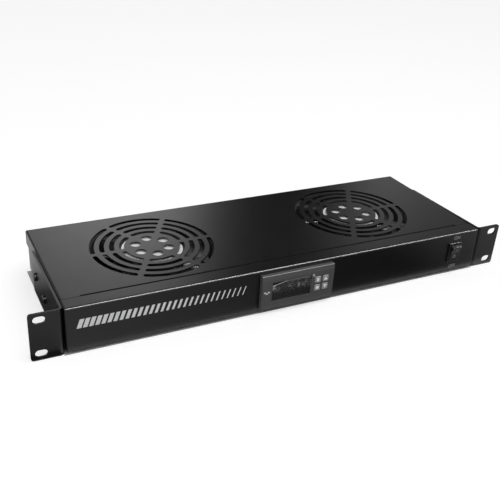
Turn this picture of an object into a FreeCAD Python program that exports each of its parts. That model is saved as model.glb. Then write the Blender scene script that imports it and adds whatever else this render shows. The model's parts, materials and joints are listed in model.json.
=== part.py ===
import FreeCAD, Part
import math
import os

from FreeCAD import Vector

# Rack fan tray, one rack unit high: a folded steel tray with two 120 mm mains fans under a
# slotted cover, a panel thermostat, a rocker switch and a mains inlet, on two rack ears.
# Frame, in millimetres: X to the right, Y to the rear, Z up. The origin is the centre of the
# rack hole pattern, on the rear faces of the ears, which is where they meet the rack's rails.

# ---------------------------------------------------------------- driving dimensions
# Rack ears
EAR_REACH = 28.8             # ear's tip past the cover's side
HOLE_INSET = 8.75            # rack holes from the ear's tip
HOLES_Z = 31.75
EAR_HEIGHT = 44.3
EAR_SHEET = 2.0
EAR_BEND = 4.4               # outside radius of the bend
EAR_CORNER = 2.5
EAR_ARM = 108.0              # how far the side arm runs behind the ear's rear face
ARM_FALL = 1.5               # how far the arm's upper edge falls towards its rear end
SLOT_LENGTH = 10.4
SLOT_WIDTH = 6.8
ARM_SCREWS = ((60.0, -4.4), (93.0, 0.4))   # distance behind the ear, height from mid-height

# Tray and cover
SHEET = 1.2
BEND = 1.8                   # outside radius of the sheet's bends
PANEL_PROUD = 1.2            # front panel ahead of the ears' front faces
COVER_WIDTH = 425.0
DEPTH = 150.2                # front panel to the cover's rear flange
GROUND_GAP = 2.3             # tray's underside above the ears' lower edges
LIP_DEPTH = 14.8             # from the front panel's face to the lip's edge
FLANGE = 15.4                # height of the cover's side and rear flanges
CORNER_GAP = 2.2             # slit between the cover's side and rear flanges
FOLD_GAP = 0.1               # cover flange to tray wall
LIP_GAP = 0.5                # lip to cover at the ends of the seam
LIP_GROOVE = 2.1             # lip to cover along the middle of the seam
LIP_END = 17.0               # length of the narrow seam at each end
TONGUE_DEPTH = 7.0           # cover's front tongue under the lip
TONGUE_WELD = 1.5            # overlap that joins the tongue to the cover
PANEL_CORNER = 1.4           # rounding of the front panel's upright edges
ARM_GAP = 0.7                # cover's side to the bracket's arm

# Grille pressed in the cover and in the floor
FAN_SPACING = 220.0
FAN_Y = 76.0
GRILLE_SLOT = 4.6
GRILLE_RADII = (28.2, 37.4, 46.6, 55.8)
GRILLE_SPOKES = 6
SPOKE_WIDTH = 4.4
GRILLE_HOLE_R = 5.15
GRILLE_HOLE_PITCH = 15.7

# Fans
FAN_SIZE = 119.5
FAN_HEIGHT = 38.0
FAN_HOLES = 104.8
FAN_CORNER = 6.0
FAN_FLANGE = 4.5
FAN_BORE_R = 57.2
STRUT_WIDTH = 7.0
STRUT_DEPTH = 4.0
MOTOR_R = 31.0
MOTOR_PLATE = 3.0
LABEL_R = 28.6
LABEL_THICK = 0.3
LABEL_GAP = 0.3              # radial gap of the label in its recess
BUSH_RECESS = 0.8            # how far the bush's bore runs into the motor plate
TUBE_R = 4.6
BUSH_R = 3.6
SHAFT_R = 1.6
SHAFT_CLEARANCE = 0.03
HUB_R = 29.5
HUB_WALL = 2.6
HUB_FLOOR = 3.0
HUB_LOW = 6.0                # rotor's closed end above the fan's foot
HUB_GAP = 1.5                # hub's open end to the motor plate
BOSS_R = 6.0
BOSS_HEIGHT = 6.5
BLADE_COUNT = 5
BLADE_THICK = 2.0
BLADE_CAMBER = 3.0
BLADE_ROOT_REACH = 20.5      # from the axis to the section that the blade starts from
BLADE_ROOT_CHORD = 27.0
BLADE_TIP_CHORD = 40.0
BLADE_ROOT_ANGLE = 48.0
BLADE_TIP_ANGLE = 31.0
TIP_GAP = 1.0
CORE_R = 22.0
CORE_HEIGHT = 10.0
CORE_Z = 15.0                # stator core's lower face above the fan's foot
SHOE = 3.0
SHOE_HALF_ANGLE = 36.0
POLE_COUNT = 4
POLE_WIDTH = 6.0
COIL_WALL = 3.6
COIL_GAP = 0.2
COIL_ROUND = 1.5
CORE_YOKE = 4.0
CAGE_GAP = 0.8
CAGE_OVERHANG = 2.0          # cage past the core at each end
CLIP_R = 2.9
CLIP_THICK = 0.4
CLIP_SEAT_R = 1.2            # bottom of the shaft's groove
CLIP_BELOW_END = 0.6         # shaft left above its clip
CLIP_PLAY = 0.3              # end float between the clip and the bush
SHAFT_END_GAP = 0.5          # shaft's end to the motor plate
TUBE_GAP = 0.6               # rotor's boss to the bearing tube

# Fasteners
M3_R = 1.5
M4_R = 2.0
HOLE_CLEARANCE = 0.25
SEAT = 0.03                  # radial gap of seated round pieces
PAN_HEAD_R = 4.0
PAN_HEAD = 2.4
LOW_HEAD = 1.9
COVER_HEAD_R = 2.9
COVER_HEAD = 1.8
COVER_SCREW_INSET = 32.5     # outer cover screws from the cover's side
NUT_AF = 7.0
NUT_HEIGHT = 3.2
CLINCH_R = 3.6
CLINCH_HEIGHT = 3.0
COVER_CLINCH_R = 3.1
COVER_CLINCH_HEIGHT = 1.5
SPACER_R = 4.5
SHANK_PAST = 0.5             # screw's end past its nut
FLOOR_SHANK_PAST = 1.5
HEAD_ROUND = 0.6             # shares of a pan head's height and radius
RECESS_DEPTH = 0.55
RECESS_REACH = 0.55
RECESS_HALF = 0.13

# Thermostat in the front panel
THERMO_X = 1.0
THERMO_Z = 0.6
BEZEL_W = 75.0
BEZEL_H = 34.5
BEZEL_D = 4.5
BEZEL_WALL = 2.0
BEZEL_SLOPE = 0.7            # how far the bezel's upper and lower strips fall back
BEZEL_BAND = 24.8            # height of the bezel's flat middle band
BEZEL_ROUND = 0.8
BEZEL_LAP_X = 2.0            # bezel past the panel's cutout at each side
BEZEL_LAP_Z = 2.75
CUTOUT_GAP = 0.2
CASE_CORNER = 1.0
CASE_WALL = 1.6
CASE_DEPTH = 58.0            # behind the front panel
WINDOW_LEFT = 10.2           # window's edges from the bezel's edges
WINDOW_RIGHT = 24.1
WINDOW_ABOVE = 7.5
WINDOW_BELOW = 8.0
WINDOW_LEDGE = 1.8
LENS_SINK = 0.4
LENS_THICK = 1.2
LENS_GAP = 0.1
LENS_ROUND = 0.25
KEY_W = 6.0
KEY_H = 6.2
KEY_GAP = 0.2
KEY_PROUD = 0.5
KEY_TRAVEL = 0.4
KEY_INSETS = (17.2, 8.9)     # columns of keys from the bezel's right edge
KEY_DZ = (4.05, -4.35)
KEY_NAMES = (("button_menu", "button_up"), ("button_power", "button_down"))
KEY_CORNER = 0.9
KEY_ROUND = 0.35
KEY_HOLE_CORNER = 1.0
KEY_FLANGE = 0.8
KEY_FLANGE_X = 0.8           # stop flange past the cap at each side
KEY_FLANGE_Z = 0.5
KEY_STEM_R = 1.5
KEY_STEM = 1.8               # stem behind the flange
TACT_GAP = 0.1               # stem's end to its contact with the button pressed
TACT_SIZE = 4.5
TACT_HEIGHT = 1.6
BOARD = 1.6
BOARD_GAP = 0.3
DISPLAY_GAP = 0.3
TRANSFORMER = (24.0, 24.0, 17.0)    # width, depth, height
TRANSFORMER_DX = -16.0
RELAY = (19.0, 16.0, 15.5)
RELAY_DX = 15.5
BOARD_MARGIN = 4.0           # front board to the transformer and relay
TERMINAL_MARGIN = 4.5        # terminal block to the cutout's width at each side
TERMINAL_H = 11.0
TERMINAL_D = 10.0
TERMINAL_DROP = 3.0          # terminal block's middle below the thermostat's
TERMINAL_INSIDE = 3.0        # part of the block that is inside the case
TERMINAL_WAYS = 8
WIRE_DEPTH = 4.0
WIRE_DROP = 1.5
WAY_HOLE = 0.3               # radius of the wire and screw holes, as a share of the pitch
WAY_SCREW_Y = 3.0
WAY_SCREW_DEPTH = 2.0
GRIP_THICK = 3.0
GRIP_HEIGHT = 20.0
GRIP_LENGTH = 24.0
GRIP_WEB = 1.2
GRIP_RELIEF_END = 4.0
GRIP_RELIEF_HEIGHT = 10.0

# Rocker switch
SWITCH_INSET = 27.85         # switch's middle from the cover's side
SWITCH_Z = 1.7
SWITCH_W = 15.0
SWITCH_H = 21.0
SWITCH_RIM = 2.0
SWITCH_CORNER = 1.2
SWITCH_ROUND = 0.6
SWITCH_BODY_W = 12.8
SWITCH_BODY_H = 19.0
SWITCH_BODY_D = 13.0
SWITCH_WALL = 0.8
SNAP_W = 8.0                 # snap ramps above and below the switch's body
SNAP_LENGTH = 6.0
SNAP_PROUD = 0.9
SNAP_ROOT = 0.3
SNAP_GAP = 0.1               # panel's back to the ramps
ROCKER_W = 10.6
ROCKER_REACH = 8.0           # half the length of the rocker's face
ROCKER_END_OUT = 3.8         # face ahead of the panel at its ends, before the tilt
ROCKER_MIDDLE_OUT = 2.7
ROCKER_NOSE = 0.4            # how far the ends bulge
ROCKER_NOSE_OUT = 0.5
ROCKER_HEEL = 1.0            # how far the back is drawn in from the ends
ROCKER_BACK = 4.0
ROCKER_ROUND = 0.5
ROCKER_TILT = 12.0
ROCKER_GAP = 0.3             # rocker to the rim at each side
ROCKER_END_GAP = 1.0
ROCKER_MOUTH = 0.4           # how far the rim's opening runs behind the panel's face
PIVOT_SHORT = 0.2            # trunnion's end inside the body's face
PIVOT_DEPTH = 0.5            # pivot behind the front panel's face
PIVOT_R = 1.5
PIVOT_CLEARANCE = 0.05
BLADE_W = 4.8
BLADE_T = 0.8
BLADE_L = 8.0
BLADE_Z = (-5.0, 3.5)        # lower and upper blade from the switch's middle
BLADE_INSIDE = 3.0
BLADE_GAP = 0.05

# Mains inlet in the rear wall
INLET_INSET = 22.5           # inlet's middle from the cover's side
INLET_CLEAR = 0.4            # inlet's flange above the floor
INLET_FLANGE_W = 31.0
INLET_FLANGE_H = 23.6
INLET_FLANGE_T = 2.0
INLET_W = 27.0
INLET_H = 19.8
INLET_D = 18.0
SOCKET_W = 24.0
SOCKET_H = 16.0
SOCKET_D = 15.5
SOCKET_CHAMFER = 4.5
PIN_W = 2.0
PIN_H = 4.0
PIN_SPACING = 14.0
PIN_RISE = 2.0               # middle pin above and outer pins below the socket's middle
PIN_SINK = 2.5
PIN_GAP = 0.03
INLET_CORNER = 2.0
INLET_ROUND = 0.6

# Leads and sensor
LEAD_R = 1.1
FAN_LEAD_R = 1.6
SENSOR_LEAD_R = 1.0
PROBE_R = 2.5
PROBE_LENGTH = 25.0
SADDLE_WALL = 1.2
SADDLE_LENGTH = 5.0
SADDLE_FOOT = 6.0
PROBE_X = -12.0
PROBE_Y = 112.0
STUD_R = 2.0
STUD_HEIGHT = 10.0
TAG_R = 4.3
TAG_THICK = 2.0
LEAD_GAP = 0.3               # lead's end to the earth tag
EARTH_DX = -15.4             # from the inlet's middle
EARTH_Y = 98.0

PAST = 1.0                   # how far a cutting shape runs past the face that it opens

# ---------------------------------------------------------------- derived sizes and planes
RACK_WIDTH = COVER_WIDTH + 2 * EAR_REACH
HOLES_X = RACK_WIDTH - 2 * HOLE_INSET
PANEL_WIDTH = COVER_WIDTH
BASE_Z = -EAR_HEIGHT / 2
TOP_Z = EAR_HEIGHT / 2
UNDERSIDE_Z = BASE_Z + GROUND_GAP
FLOOR_Z = UNDERSIDE_Z + SHEET
CEILING_Z = TOP_Z - SHEET
PANEL_Y = -EAR_SHEET - PANEL_PROUD
PANEL_BACK_Y = PANEL_Y + SHEET
LIP_Y = PANEL_Y + LIP_DEPTH
REAR_Y = PANEL_Y + DEPTH
WALL_REAR_Y = REAR_Y - SHEET - FOLD_GAP
WALL_X = COVER_WIDTH / 2 - SHEET - FOLD_GAP
ARM_X = COVER_WIDTH / 2 + ARM_GAP
FLANGE_Z = TOP_Z - FLANGE
COVER_SCREW_Z = (TOP_Z + FLANGE_Z) / 2
COVER_SCREW_X = (COVER_SCREW_INSET - COVER_WIDTH / 2, 0.0, COVER_WIDTH / 2 - COVER_SCREW_INSET)
FAN_CENTRES = {"left": Vector(-FAN_SPACING / 2, FAN_Y, FLOOR_Z),
               "right": Vector(FAN_SPACING / 2, FAN_Y, FLOOR_Z)}
CUTOUT_W = BEZEL_W - 2 * BEZEL_LAP_X
CUTOUT_H = BEZEL_H - 2 * BEZEL_LAP_Z
WINDOW_W = BEZEL_W - WINDOW_LEFT - WINDOW_RIGHT
WINDOW_H = BEZEL_H - WINDOW_ABOVE - WINDOW_BELOW
WINDOW_DX = (WINDOW_LEFT - WINDOW_RIGHT) / 2
WINDOW_DZ = (WINDOW_BELOW - WINDOW_ABOVE) / 2
KEY_DX = tuple(BEZEL_W / 2 - inset for inset in KEY_INSETS)
BEZEL_Y = PANEL_Y - BEZEL_D
BEZEL_BACK_Y = BEZEL_Y + BEZEL_WALL
KEY_STOP_Y = BEZEL_BACK_Y
LENS_Y = BEZEL_Y + LENS_SINK
TACT_Y = KEY_STOP_Y + KEY_FLANGE + KEY_STEM + KEY_TRAVEL + TACT_GAP
BOARD_Y = TACT_Y + TACT_HEIGHT
CASE_END_Y = PANEL_BACK_Y + CASE_DEPTH
TERMINAL_W = CUTOUT_W - 2 * TERMINAL_MARGIN
TERMINAL_Z = THERMO_Z - TERMINAL_DROP
TERMINAL_Y = CASE_END_Y - CASE_WALL - TERMINAL_INSIDE
TERMINAL_PITCH = TERMINAL_W / TERMINAL_WAYS
INLET_X = COVER_WIDTH / 2 - INLET_INSET
INLET_Z = FLOOR_Z + INLET_CLEAR + INLET_FLANGE_H / 2
INLET_Y = WALL_REAR_Y
TUBE_LOW = HUB_LOW + BOSS_HEIGHT + TUBE_GAP
SHAFT_END = FAN_HEIGHT - MOTOR_PLATE - SHAFT_END_GAP
SOCKET_FLOOR_Y = INLET_Y + INLET_FLANGE_T - SOCKET_D
INLET_END_Y = INLET_Y - INLET_D
INLET_PINS = ((-PIN_SPACING / 2, -PIN_RISE), (0, PIN_RISE), (PIN_SPACING / 2, -PIN_RISE))
SWITCH_X = COVER_WIDTH / 2 - SWITCH_INSET
SWITCH_END_Y = PANEL_Y + SWITCH_BODY_D
SWITCH_PIVOT = Vector(SWITCH_X, PANEL_Y + PIVOT_DEPTH, SWITCH_Z)
EARTH_POINT = Vector(INLET_X + EARTH_DX, EARTH_Y, FLOOR_Z)

X_AXIS = Vector(1, 0, 0)
Y_AXIS = Vector(0, 1, 0)
Z_AXIS = Vector(0, 0, 1)


# ---------------------------------------------------------------- helpers
def box(x0, x1, y0, y1, z0, z1):
    """Box between two corners, given in any order."""
    corner = Vector(min(x0, x1), min(y0, y1), min(z0, z1))
    return Part.makeBox(abs(x1 - x0), abs(y1 - y0), abs(z1 - z0), corner)


def centred(x, z, width, height, y0, y1):
    """Box across the panel, centred on x and z, from y0 to y1."""
    return box(x - width / 2, x + width / 2, y0, y1, z - height / 2, z + height / 2)


def cylinder(radius, start, end):
    """Cylinder from one point to another."""
    run = end - start
    return Part.makeCylinder(radius, run.Length, start, run)


def ring(outer, inner, start, end):
    """Tube wall from one point to another."""
    return cylinder(outer, start, end).cut(cylinder(inner, start, end))


def fuse(shapes):
    """One solid from shapes that touch or cross."""
    joined = shapes[0].multiFuse(shapes[1:]) if len(shapes) > 1 else shapes[0]
    return joined.removeSplitter()


def prism(points, travel):
    """Solid from a closed outline of points, pushed along travel."""
    outline = Part.makePolygon(points + [points[0]])
    return Part.Face(outline).extrude(travel)


def edges_along(shape, axis, test):
    """Straight edges of a shape along one axis whose middle passes a test."""
    found = []
    for edge in shape.Edges:
        if len(edge.Vertexes) < 2 or not isinstance(edge.Curve, Part.Line):
            continue
        run = edge.Vertexes[1].Point - edge.Vertexes[0].Point
        middle = (edge.Vertexes[1].Point + edge.Vertexes[0].Point) * 0.5
        if abs(abs(run.dot(axis)) - run.Length) < 1e-6 * max(1.0, run.Length) and test(middle):
            found.append(edge)
    return found


def rounded(shape, radius, axis, test=lambda point: True):
    """Shape with its edges along one axis rounded."""
    return shape.makeFillet(radius, edges_along(shape, axis, test))


def turned(shape, centre, axis, degrees):
    """Copy of a shape turned about an axis through a centre."""
    copy = shape.copy()
    copy.rotate(centre, axis, degrees)
    return copy


def mirrored_x(shape):
    """Copy of a shape mirrored from one side of the tray to the other."""
    return shape.mirror(Vector(0, 0, 0), X_AXIS)


def pan_screw(seat, out, head_r, head_h, shank_r, length):
    """Pan-head screw with a cross recess: seat under the head, out points away from the joint."""
    head = cylinder(head_r, seat, seat + out * head_h)
    top_edges = [edge for edge in head.Edges
                 if isinstance(edge.Curve, Part.Circle)
                 and abs((edge.CenterOfMass - seat).dot(out) - head_h) < 1e-6]
    head = head.makeFillet(head_h * HEAD_ROUND, top_edges)
    screw = fuse([head, cylinder(shank_r, seat, seat - out * length)])
    side = Vector(0, 0, 1) if abs(out.z) < 0.5 else Vector(1, 0, 0)
    for arm in (side, out.cross(side)):
        across = out.cross(arm)
        width = head_r * RECESS_HALF
        reach = head_r * RECESS_REACH
        corner = seat + out * (head_h * (1 - RECESS_DEPTH))
        points = [corner - arm * reach - across * width, corner + arm * reach - across * width,
                  corner + arm * reach + across * width, corner - arm * reach + across * width]
        screw = screw.cut(prism(points, out * head_h))
    return screw


def hex_nut(seat, out, across_flats, height, bore_r):
    """Hexagonal nut standing on its seat."""
    side = Vector(0, 0, 1) if abs(out.z) < 0.5 else Vector(1, 0, 0)
    other = out.cross(side)
    corner_r = across_flats / math.sqrt(3)
    points = []
    for step in range(6):
        angle = math.radians(60 * step)
        points.append(seat + side * (corner_r * math.cos(angle)) + other * (corner_r * math.sin(angle)))
    return prism(points, out * height).cut(cylinder(bore_r, seat - out * PAST, seat + out * (height + PAST)))


def lead(name, points, radius):
    """Round lead through points: straight runs joined by tangent arcs as large as the runs allow."""
    edges = []
    radii = []
    start = points[0]
    for index in range(1, len(points) - 1):
        before = points[index] - points[index - 1]
        after = points[index + 1] - points[index]
        shorter = min(before.Length, after.Length)
        half = before.getAngle(after) / 2
        set_back = 0.45 * shorter
        radii.append(set_back / math.tan(half))
        before.normalize()
        after.normalize()
        arc_start = points[index] - before * set_back
        arc_end = points[index] + after * set_back
        centre = arc_start + (after - before * before.dot(after)).normalize() * radii[-1]
        middle = centre + (points[index] - centre).normalize() * radii[-1]
        edges.append(Part.LineSegment(start, arc_start).toShape())
        edges.append(Part.Arc(arc_start, middle, arc_end).toShape())
        start = arc_end
    edges.append(Part.LineSegment(start, points[-1]).toShape())
    path = Part.Wire(edges)
    section = Part.Wire(Part.makeCircle(radius, points[0], points[1] - points[0]))
    tube = path.makePipeShell([section], True, False)
    expected = math.pi * radius ** 2 * path.Length
    print(name, "bend radii", [round(value, 1) for value in radii], "length", round(path.Length, 1),
          "volume over section times length", round(tube.Volume / expected, 4))
    return tube


def save(name, shapes):
    """Write one node, checked: every solid valid and closed."""
    solids = [solid for shape in shapes for solid in shape.Solids]
    for solid in solids:
        if not solid.isValid() or solid.Volume <= 0:
            raise ValueError(name + " holds a bad solid")
    shape = solids[0] if len(solids) == 1 else Part.makeCompound(solids)
    shape.exportStep("parts/" + name + ".step")


# ---------------------------------------------------------------- sheet metal
def grille_cut(centre, z0, z1):
    """Slots and holes of one grille, as solids to cut away."""
    cuts = []
    for radius in GRILLE_RADII:
        inner = radius - GRILLE_SLOT / 2
        outer = radius + GRILLE_SLOT / 2
        margin = math.asin((SPOKE_WIDTH + GRILLE_SLOT) / 2 / radius)
        for spoke in range(GRILLE_SPOKES):
            first = 2 * math.pi * spoke / GRILLE_SPOKES + margin
            last = 2 * math.pi * (spoke + 1) / GRILLE_SPOKES - margin
            middle = (first + last) / 2

            def at(reach, angle):
                return Vector(centre.x + reach * math.cos(angle), centre.y + reach * math.sin(angle), z0)

            def cap(angle, side):
                tip = at(radius, angle)
                along = Vector(-math.sin(angle), math.cos(angle), 0) * side
                return tip + along * (GRILLE_SLOT / 2)

            outline = Part.Wire([
                Part.Arc(at(outer, first), at(outer, middle), at(outer, last)).toShape(),
                Part.Arc(at(outer, last), cap(last, 1), at(inner, last)).toShape(),
                Part.Arc(at(inner, last), at(inner, middle), at(inner, first)).toShape(),
                Part.Arc(at(inner, first), cap(first, -1), at(outer, first)).toShape()])
            cuts.append(Part.Face(outline).extrude(Vector(0, 0, z1 - z0)))
    for spoke in range(GRILLE_SPOKES):
        angle = 2 * math.pi * (spoke + 0.5) / GRILLE_SPOKES
        spot = Vector(centre.x + GRILLE_HOLE_PITCH * math.cos(angle),
                      centre.y + GRILLE_HOLE_PITCH * math.sin(angle), z0)
        cuts.append(cylinder(GRILLE_HOLE_R, spot, spot + Vector(0, 0, z1 - z0)))
    return cuts


def fan_hole_points(centre):
    """The four fixing points of a fan, on the level of the centre."""
    half = FAN_HOLES / 2
    return [centre + Vector(x, y, 0) for x in (-half, half) for y in (-half, half)]


def base_tray():
    """Folded tray: front panel with its lip, floor, side walls and rear wall in one sheet."""
    wall_top = CEILING_Z - (BEND - SHEET)

    def shell(half_width, y0, y1, z1, grow):
        block = box(-half_width - grow, half_width + grow, y0 - grow, y1 + grow,
                    UNDERSIDE_Z - grow, z1 + grow)
        radius = BEND + grow
        block = rounded(block, radius, X_AXIS)
        return rounded(block, radius, Y_AXIS, lambda p: p.z < 0)

    outer = shell(WALL_X, PANEL_Y + BEND, WALL_REAR_Y, TOP_Z, 0)
    inner = shell(WALL_X, PANEL_BACK_Y, WALL_REAR_Y, TOP_Z, -SHEET)
    body = outer.cut(box(-WALL_X, WALL_X, PANEL_Y, WALL_REAR_Y, wall_top, TOP_Z))
    body = body.cut(inner)

    front = box(-PANEL_WIDTH / 2, PANEL_WIDTH / 2, PANEL_Y, LIP_Y, UNDERSIDE_Z, TOP_Z)
    front = rounded(front, BEND, X_AXIS, lambda p: p.y < PANEL_BACK_Y)
    front = rounded(front, PANEL_CORNER, Z_AXIS, lambda p: p.y < PANEL_BACK_Y)
    hollow = box(-PANEL_WIDTH / 2 + SHEET, PANEL_WIDTH / 2 - SHEET, PANEL_BACK_Y, LIP_Y + PAST,
                 FLOOR_Z, CEILING_Z)
    hollow = rounded(hollow, BEND - SHEET, X_AXIS, lambda p: p.y < LIP_Y)
    front = front.cut(hollow)
    body = body.cut(box(-WALL_X, WALL_X, PANEL_Y, LIP_Y - PAST, UNDERSIDE_Z, TOP_Z))
    tray = fuse([front, body])

    cuts = []
    for centre in FAN_CENTRES.values():
        cuts += grille_cut(centre, UNDERSIDE_Z - PAST, FLOOR_Z + PAST)
        for spot in fan_hole_points(centre):
            under = spot - Z_AXIS * (SHEET + PAST)
            cuts.append(cylinder(M4_R + HOLE_CLEARANCE, under, spot + Z_AXIS * PAST))
    cuts.append(centred(THERMO_X, THERMO_Z, CUTOUT_W, CUTOUT_H, PANEL_Y - PAST, PANEL_BACK_Y + PAST))
    cuts.append(centred(SWITCH_X, SWITCH_Z, SWITCH_BODY_W + CUTOUT_GAP, SWITCH_BODY_H + CUTOUT_GAP,
                        PANEL_Y - PAST, PANEL_BACK_Y + PAST))
    cuts.append(centred(INLET_X, INLET_Z, INLET_W + CUTOUT_GAP, INLET_H + CUTOUT_GAP,
                        WALL_REAR_Y - SHEET - PAST, WALL_REAR_Y + PAST))
    for x in COVER_SCREW_X:
        spot = Vector(x, WALL_REAR_Y - SHEET - PAST, COVER_SCREW_Z)
        cuts.append(cylinder(M3_R + HOLE_CLEARANCE, spot, spot + Y_AXIS * (SHEET + 2 * PAST)))
    for y, z in ARM_SCREWS:
        for side in (-1, 1):
            spot = Vector(side * (WALL_X + PAST), y, z)
            cuts.append(cylinder(M4_R + HOLE_CLEARANCE, spot, spot - X_AXIS * side * (SHEET + 2 * PAST)))
    return tray.cut(Part.makeCompound(cuts))


def top_cover():
    """Slotted cover with side and rear flanges and a front tongue that goes under the lip."""
    half = COVER_WIDTH / 2
    front_y = LIP_Y + LIP_GAP
    skin = box(-half, half, front_y, REAR_Y, FLANGE_Z, TOP_Z)
    skin = rounded(skin, BEND, Y_AXIS, lambda p: p.z > 0)
    skin = rounded(skin, BEND, X_AXIS, lambda p: p.z > 0 and p.y > FAN_Y)
    inside = box(-half + SHEET, half - SHEET, front_y - PAST, REAR_Y - SHEET, FLANGE_Z - PAST, CEILING_Z)
    inside = rounded(inside, BEND - SHEET, Y_AXIS, lambda p: p.z > 0)
    inside = rounded(inside, BEND - SHEET, X_AXIS, lambda p: p.z > 0 and p.y > FAN_Y)
    cover = skin.cut(inside)
    cuts = []
    for side in (-1, 1):
        cuts.append(box(side * (half - SHEET - PAST), side * (half + PAST),
                        REAR_Y - SHEET - CORNER_GAP, REAR_Y - SHEET, FLANGE_Z - PAST, TOP_Z - BEND))
    groove_half = half - LIP_END
    cuts.append(box(-groove_half, groove_half, front_y - PAST, LIP_Y + LIP_GROOVE,
                    CEILING_Z - PAST, TOP_Z + PAST))
    for centre in FAN_CENTRES.values():
        cuts += grille_cut(centre, CEILING_Z - PAST, TOP_Z + PAST)
    for x in COVER_SCREW_X:
        spot = Vector(x, REAR_Y - SHEET - PAST, COVER_SCREW_Z)
        cuts.append(cylinder(M3_R + HOLE_CLEARANCE, spot, spot + Y_AXIS * (SHEET + 2 * PAST)))
    cover = cover.cut(Part.makeCompound(cuts))
    tongue_half = groove_half + TONGUE_WELD
    tongue = box(-tongue_half, tongue_half, LIP_Y - TONGUE_DEPTH, LIP_Y + LIP_GROOVE + TONGUE_WELD,
                 CEILING_Z - SHEET, CEILING_Z)
    return fuse([cover, tongue])


def ear_bracket(side):
    """Rack ear with its side arm, folded from thicker sheet. side is 1 on the right."""
    outer = Part.makePolygon([
        Vector(ARM_X, EAR_ARM, BASE_Z), Vector(ARM_X, -EAR_SHEET, BASE_Z),
        Vector(RACK_WIDTH / 2, -EAR_SHEET, BASE_Z), Vector(RACK_WIDTH / 2, 0, BASE_Z),
        Vector(ARM_X + EAR_SHEET, 0, BASE_Z), Vector(ARM_X + EAR_SHEET, EAR_ARM, BASE_Z),
        Vector(ARM_X, EAR_ARM, BASE_Z)])
    bracket = Part.Face(outer).extrude(Vector(0, 0, EAR_HEIGHT))
    bend_x = ARM_X + EAR_SHEET / 2
    bracket = rounded(bracket, EAR_BEND, Z_AXIS, lambda p: p.x < bend_x and p.y < 0)
    bracket = rounded(bracket, EAR_BEND - EAR_SHEET, Z_AXIS,
                      lambda p: bend_x < p.x < HOLES_X / 2 and abs(p.y) < EAR_SHEET / 2)
    bracket = rounded(bracket, EAR_CORNER, Y_AXIS, lambda p: p.x > HOLES_X / 2)
    fall = [Vector(ARM_X - PAST, EAR_BEND, TOP_Z), Vector(ARM_X - PAST, EAR_ARM + PAST, TOP_Z - ARM_FALL),
            Vector(ARM_X - PAST, EAR_ARM + PAST, TOP_Z + PAST), Vector(ARM_X - PAST, EAR_BEND, TOP_Z + PAST)]
    bracket = bracket.cut(prism(fall, X_AXIS * (EAR_SHEET + 2 * PAST)))
    bracket = rounded(bracket, EAR_CORNER, X_AXIS, lambda p: p.y > EAR_ARM / 2)
    cuts = []
    half_run = (SLOT_LENGTH - SLOT_WIDTH) / 2
    for z in (-HOLES_Z / 2, HOLES_Z / 2):
        spot = Vector(HOLES_X / 2, -EAR_SHEET - PAST, z)
        through = Y_AXIS * (EAR_SHEET + 2 * PAST)
        ends = [spot - X_AXIS * half_run, spot + X_AXIS * half_run]
        cuts.append(fuse([
            box(spot.x - half_run, spot.x + half_run, spot.y, spot.y + through.y,
                z - SLOT_WIDTH / 2, z + SLOT_WIDTH / 2),
            cylinder(SLOT_WIDTH / 2, ends[0], ends[0] + through),
            cylinder(SLOT_WIDTH / 2, ends[1], ends[1] + through)]))
    for y, z in ARM_SCREWS:
        spot = Vector(ARM_X - PAST, y, z)
        cuts.append(cylinder(M4_R + HOLE_CLEARANCE, spot, spot + X_AXIS * (EAR_SHEET + 2 * PAST)))
    bracket = bracket.cut(Part.makeCompound(cuts))
    return bracket if side > 0 else mirrored_x(bracket)


def arm_fasteners():
    """Screws, spacers and clinch nuts that carry both brackets, as three lists."""
    screws = []
    spacers = []
    nuts = []
    length = ARM_X + EAR_SHEET - WALL_X + SHEET + CLINCH_HEIGHT + SHANK_PAST
    for y, z in ARM_SCREWS:
        head_seat = Vector(ARM_X + EAR_SHEET, y, z)
        wall = Vector(WALL_X, y, z)
        inside = Vector(WALL_X - SHEET, y, z)
        screw = pan_screw(head_seat, X_AXIS, PAN_HEAD_R, PAN_HEAD, M4_R, length)
        spacer = ring(SPACER_R, M4_R + HOLE_CLEARANCE, wall, Vector(ARM_X, y, z))
        nut = ring(CLINCH_R, M4_R + SEAT, inside - X_AXIS * CLINCH_HEIGHT, inside)
        for group, shape in ((screws, screw), (spacers, spacer), (nuts, nut)):
            group.append(shape)
            group.append(mirrored_x(shape))
    return screws, spacers, nuts


def cover_fasteners():
    """Screws in the cover's rear flange and their clinch nuts."""
    screws = []
    nuts = []
    length = 2 * SHEET + FOLD_GAP + COVER_CLINCH_HEIGHT + SHANK_PAST
    for x in COVER_SCREW_X:
        seat = Vector(x, REAR_Y, COVER_SCREW_Z)
        inside = Vector(x, WALL_REAR_Y - SHEET, COVER_SCREW_Z)
        screws.append(pan_screw(seat, Y_AXIS, COVER_HEAD_R, COVER_HEAD, M3_R, length))
        nuts.append(ring(COVER_CLINCH_R, M3_R + SEAT, inside - Y_AXIS * COVER_CLINCH_HEIGHT, inside))
    return screws, nuts


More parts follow.
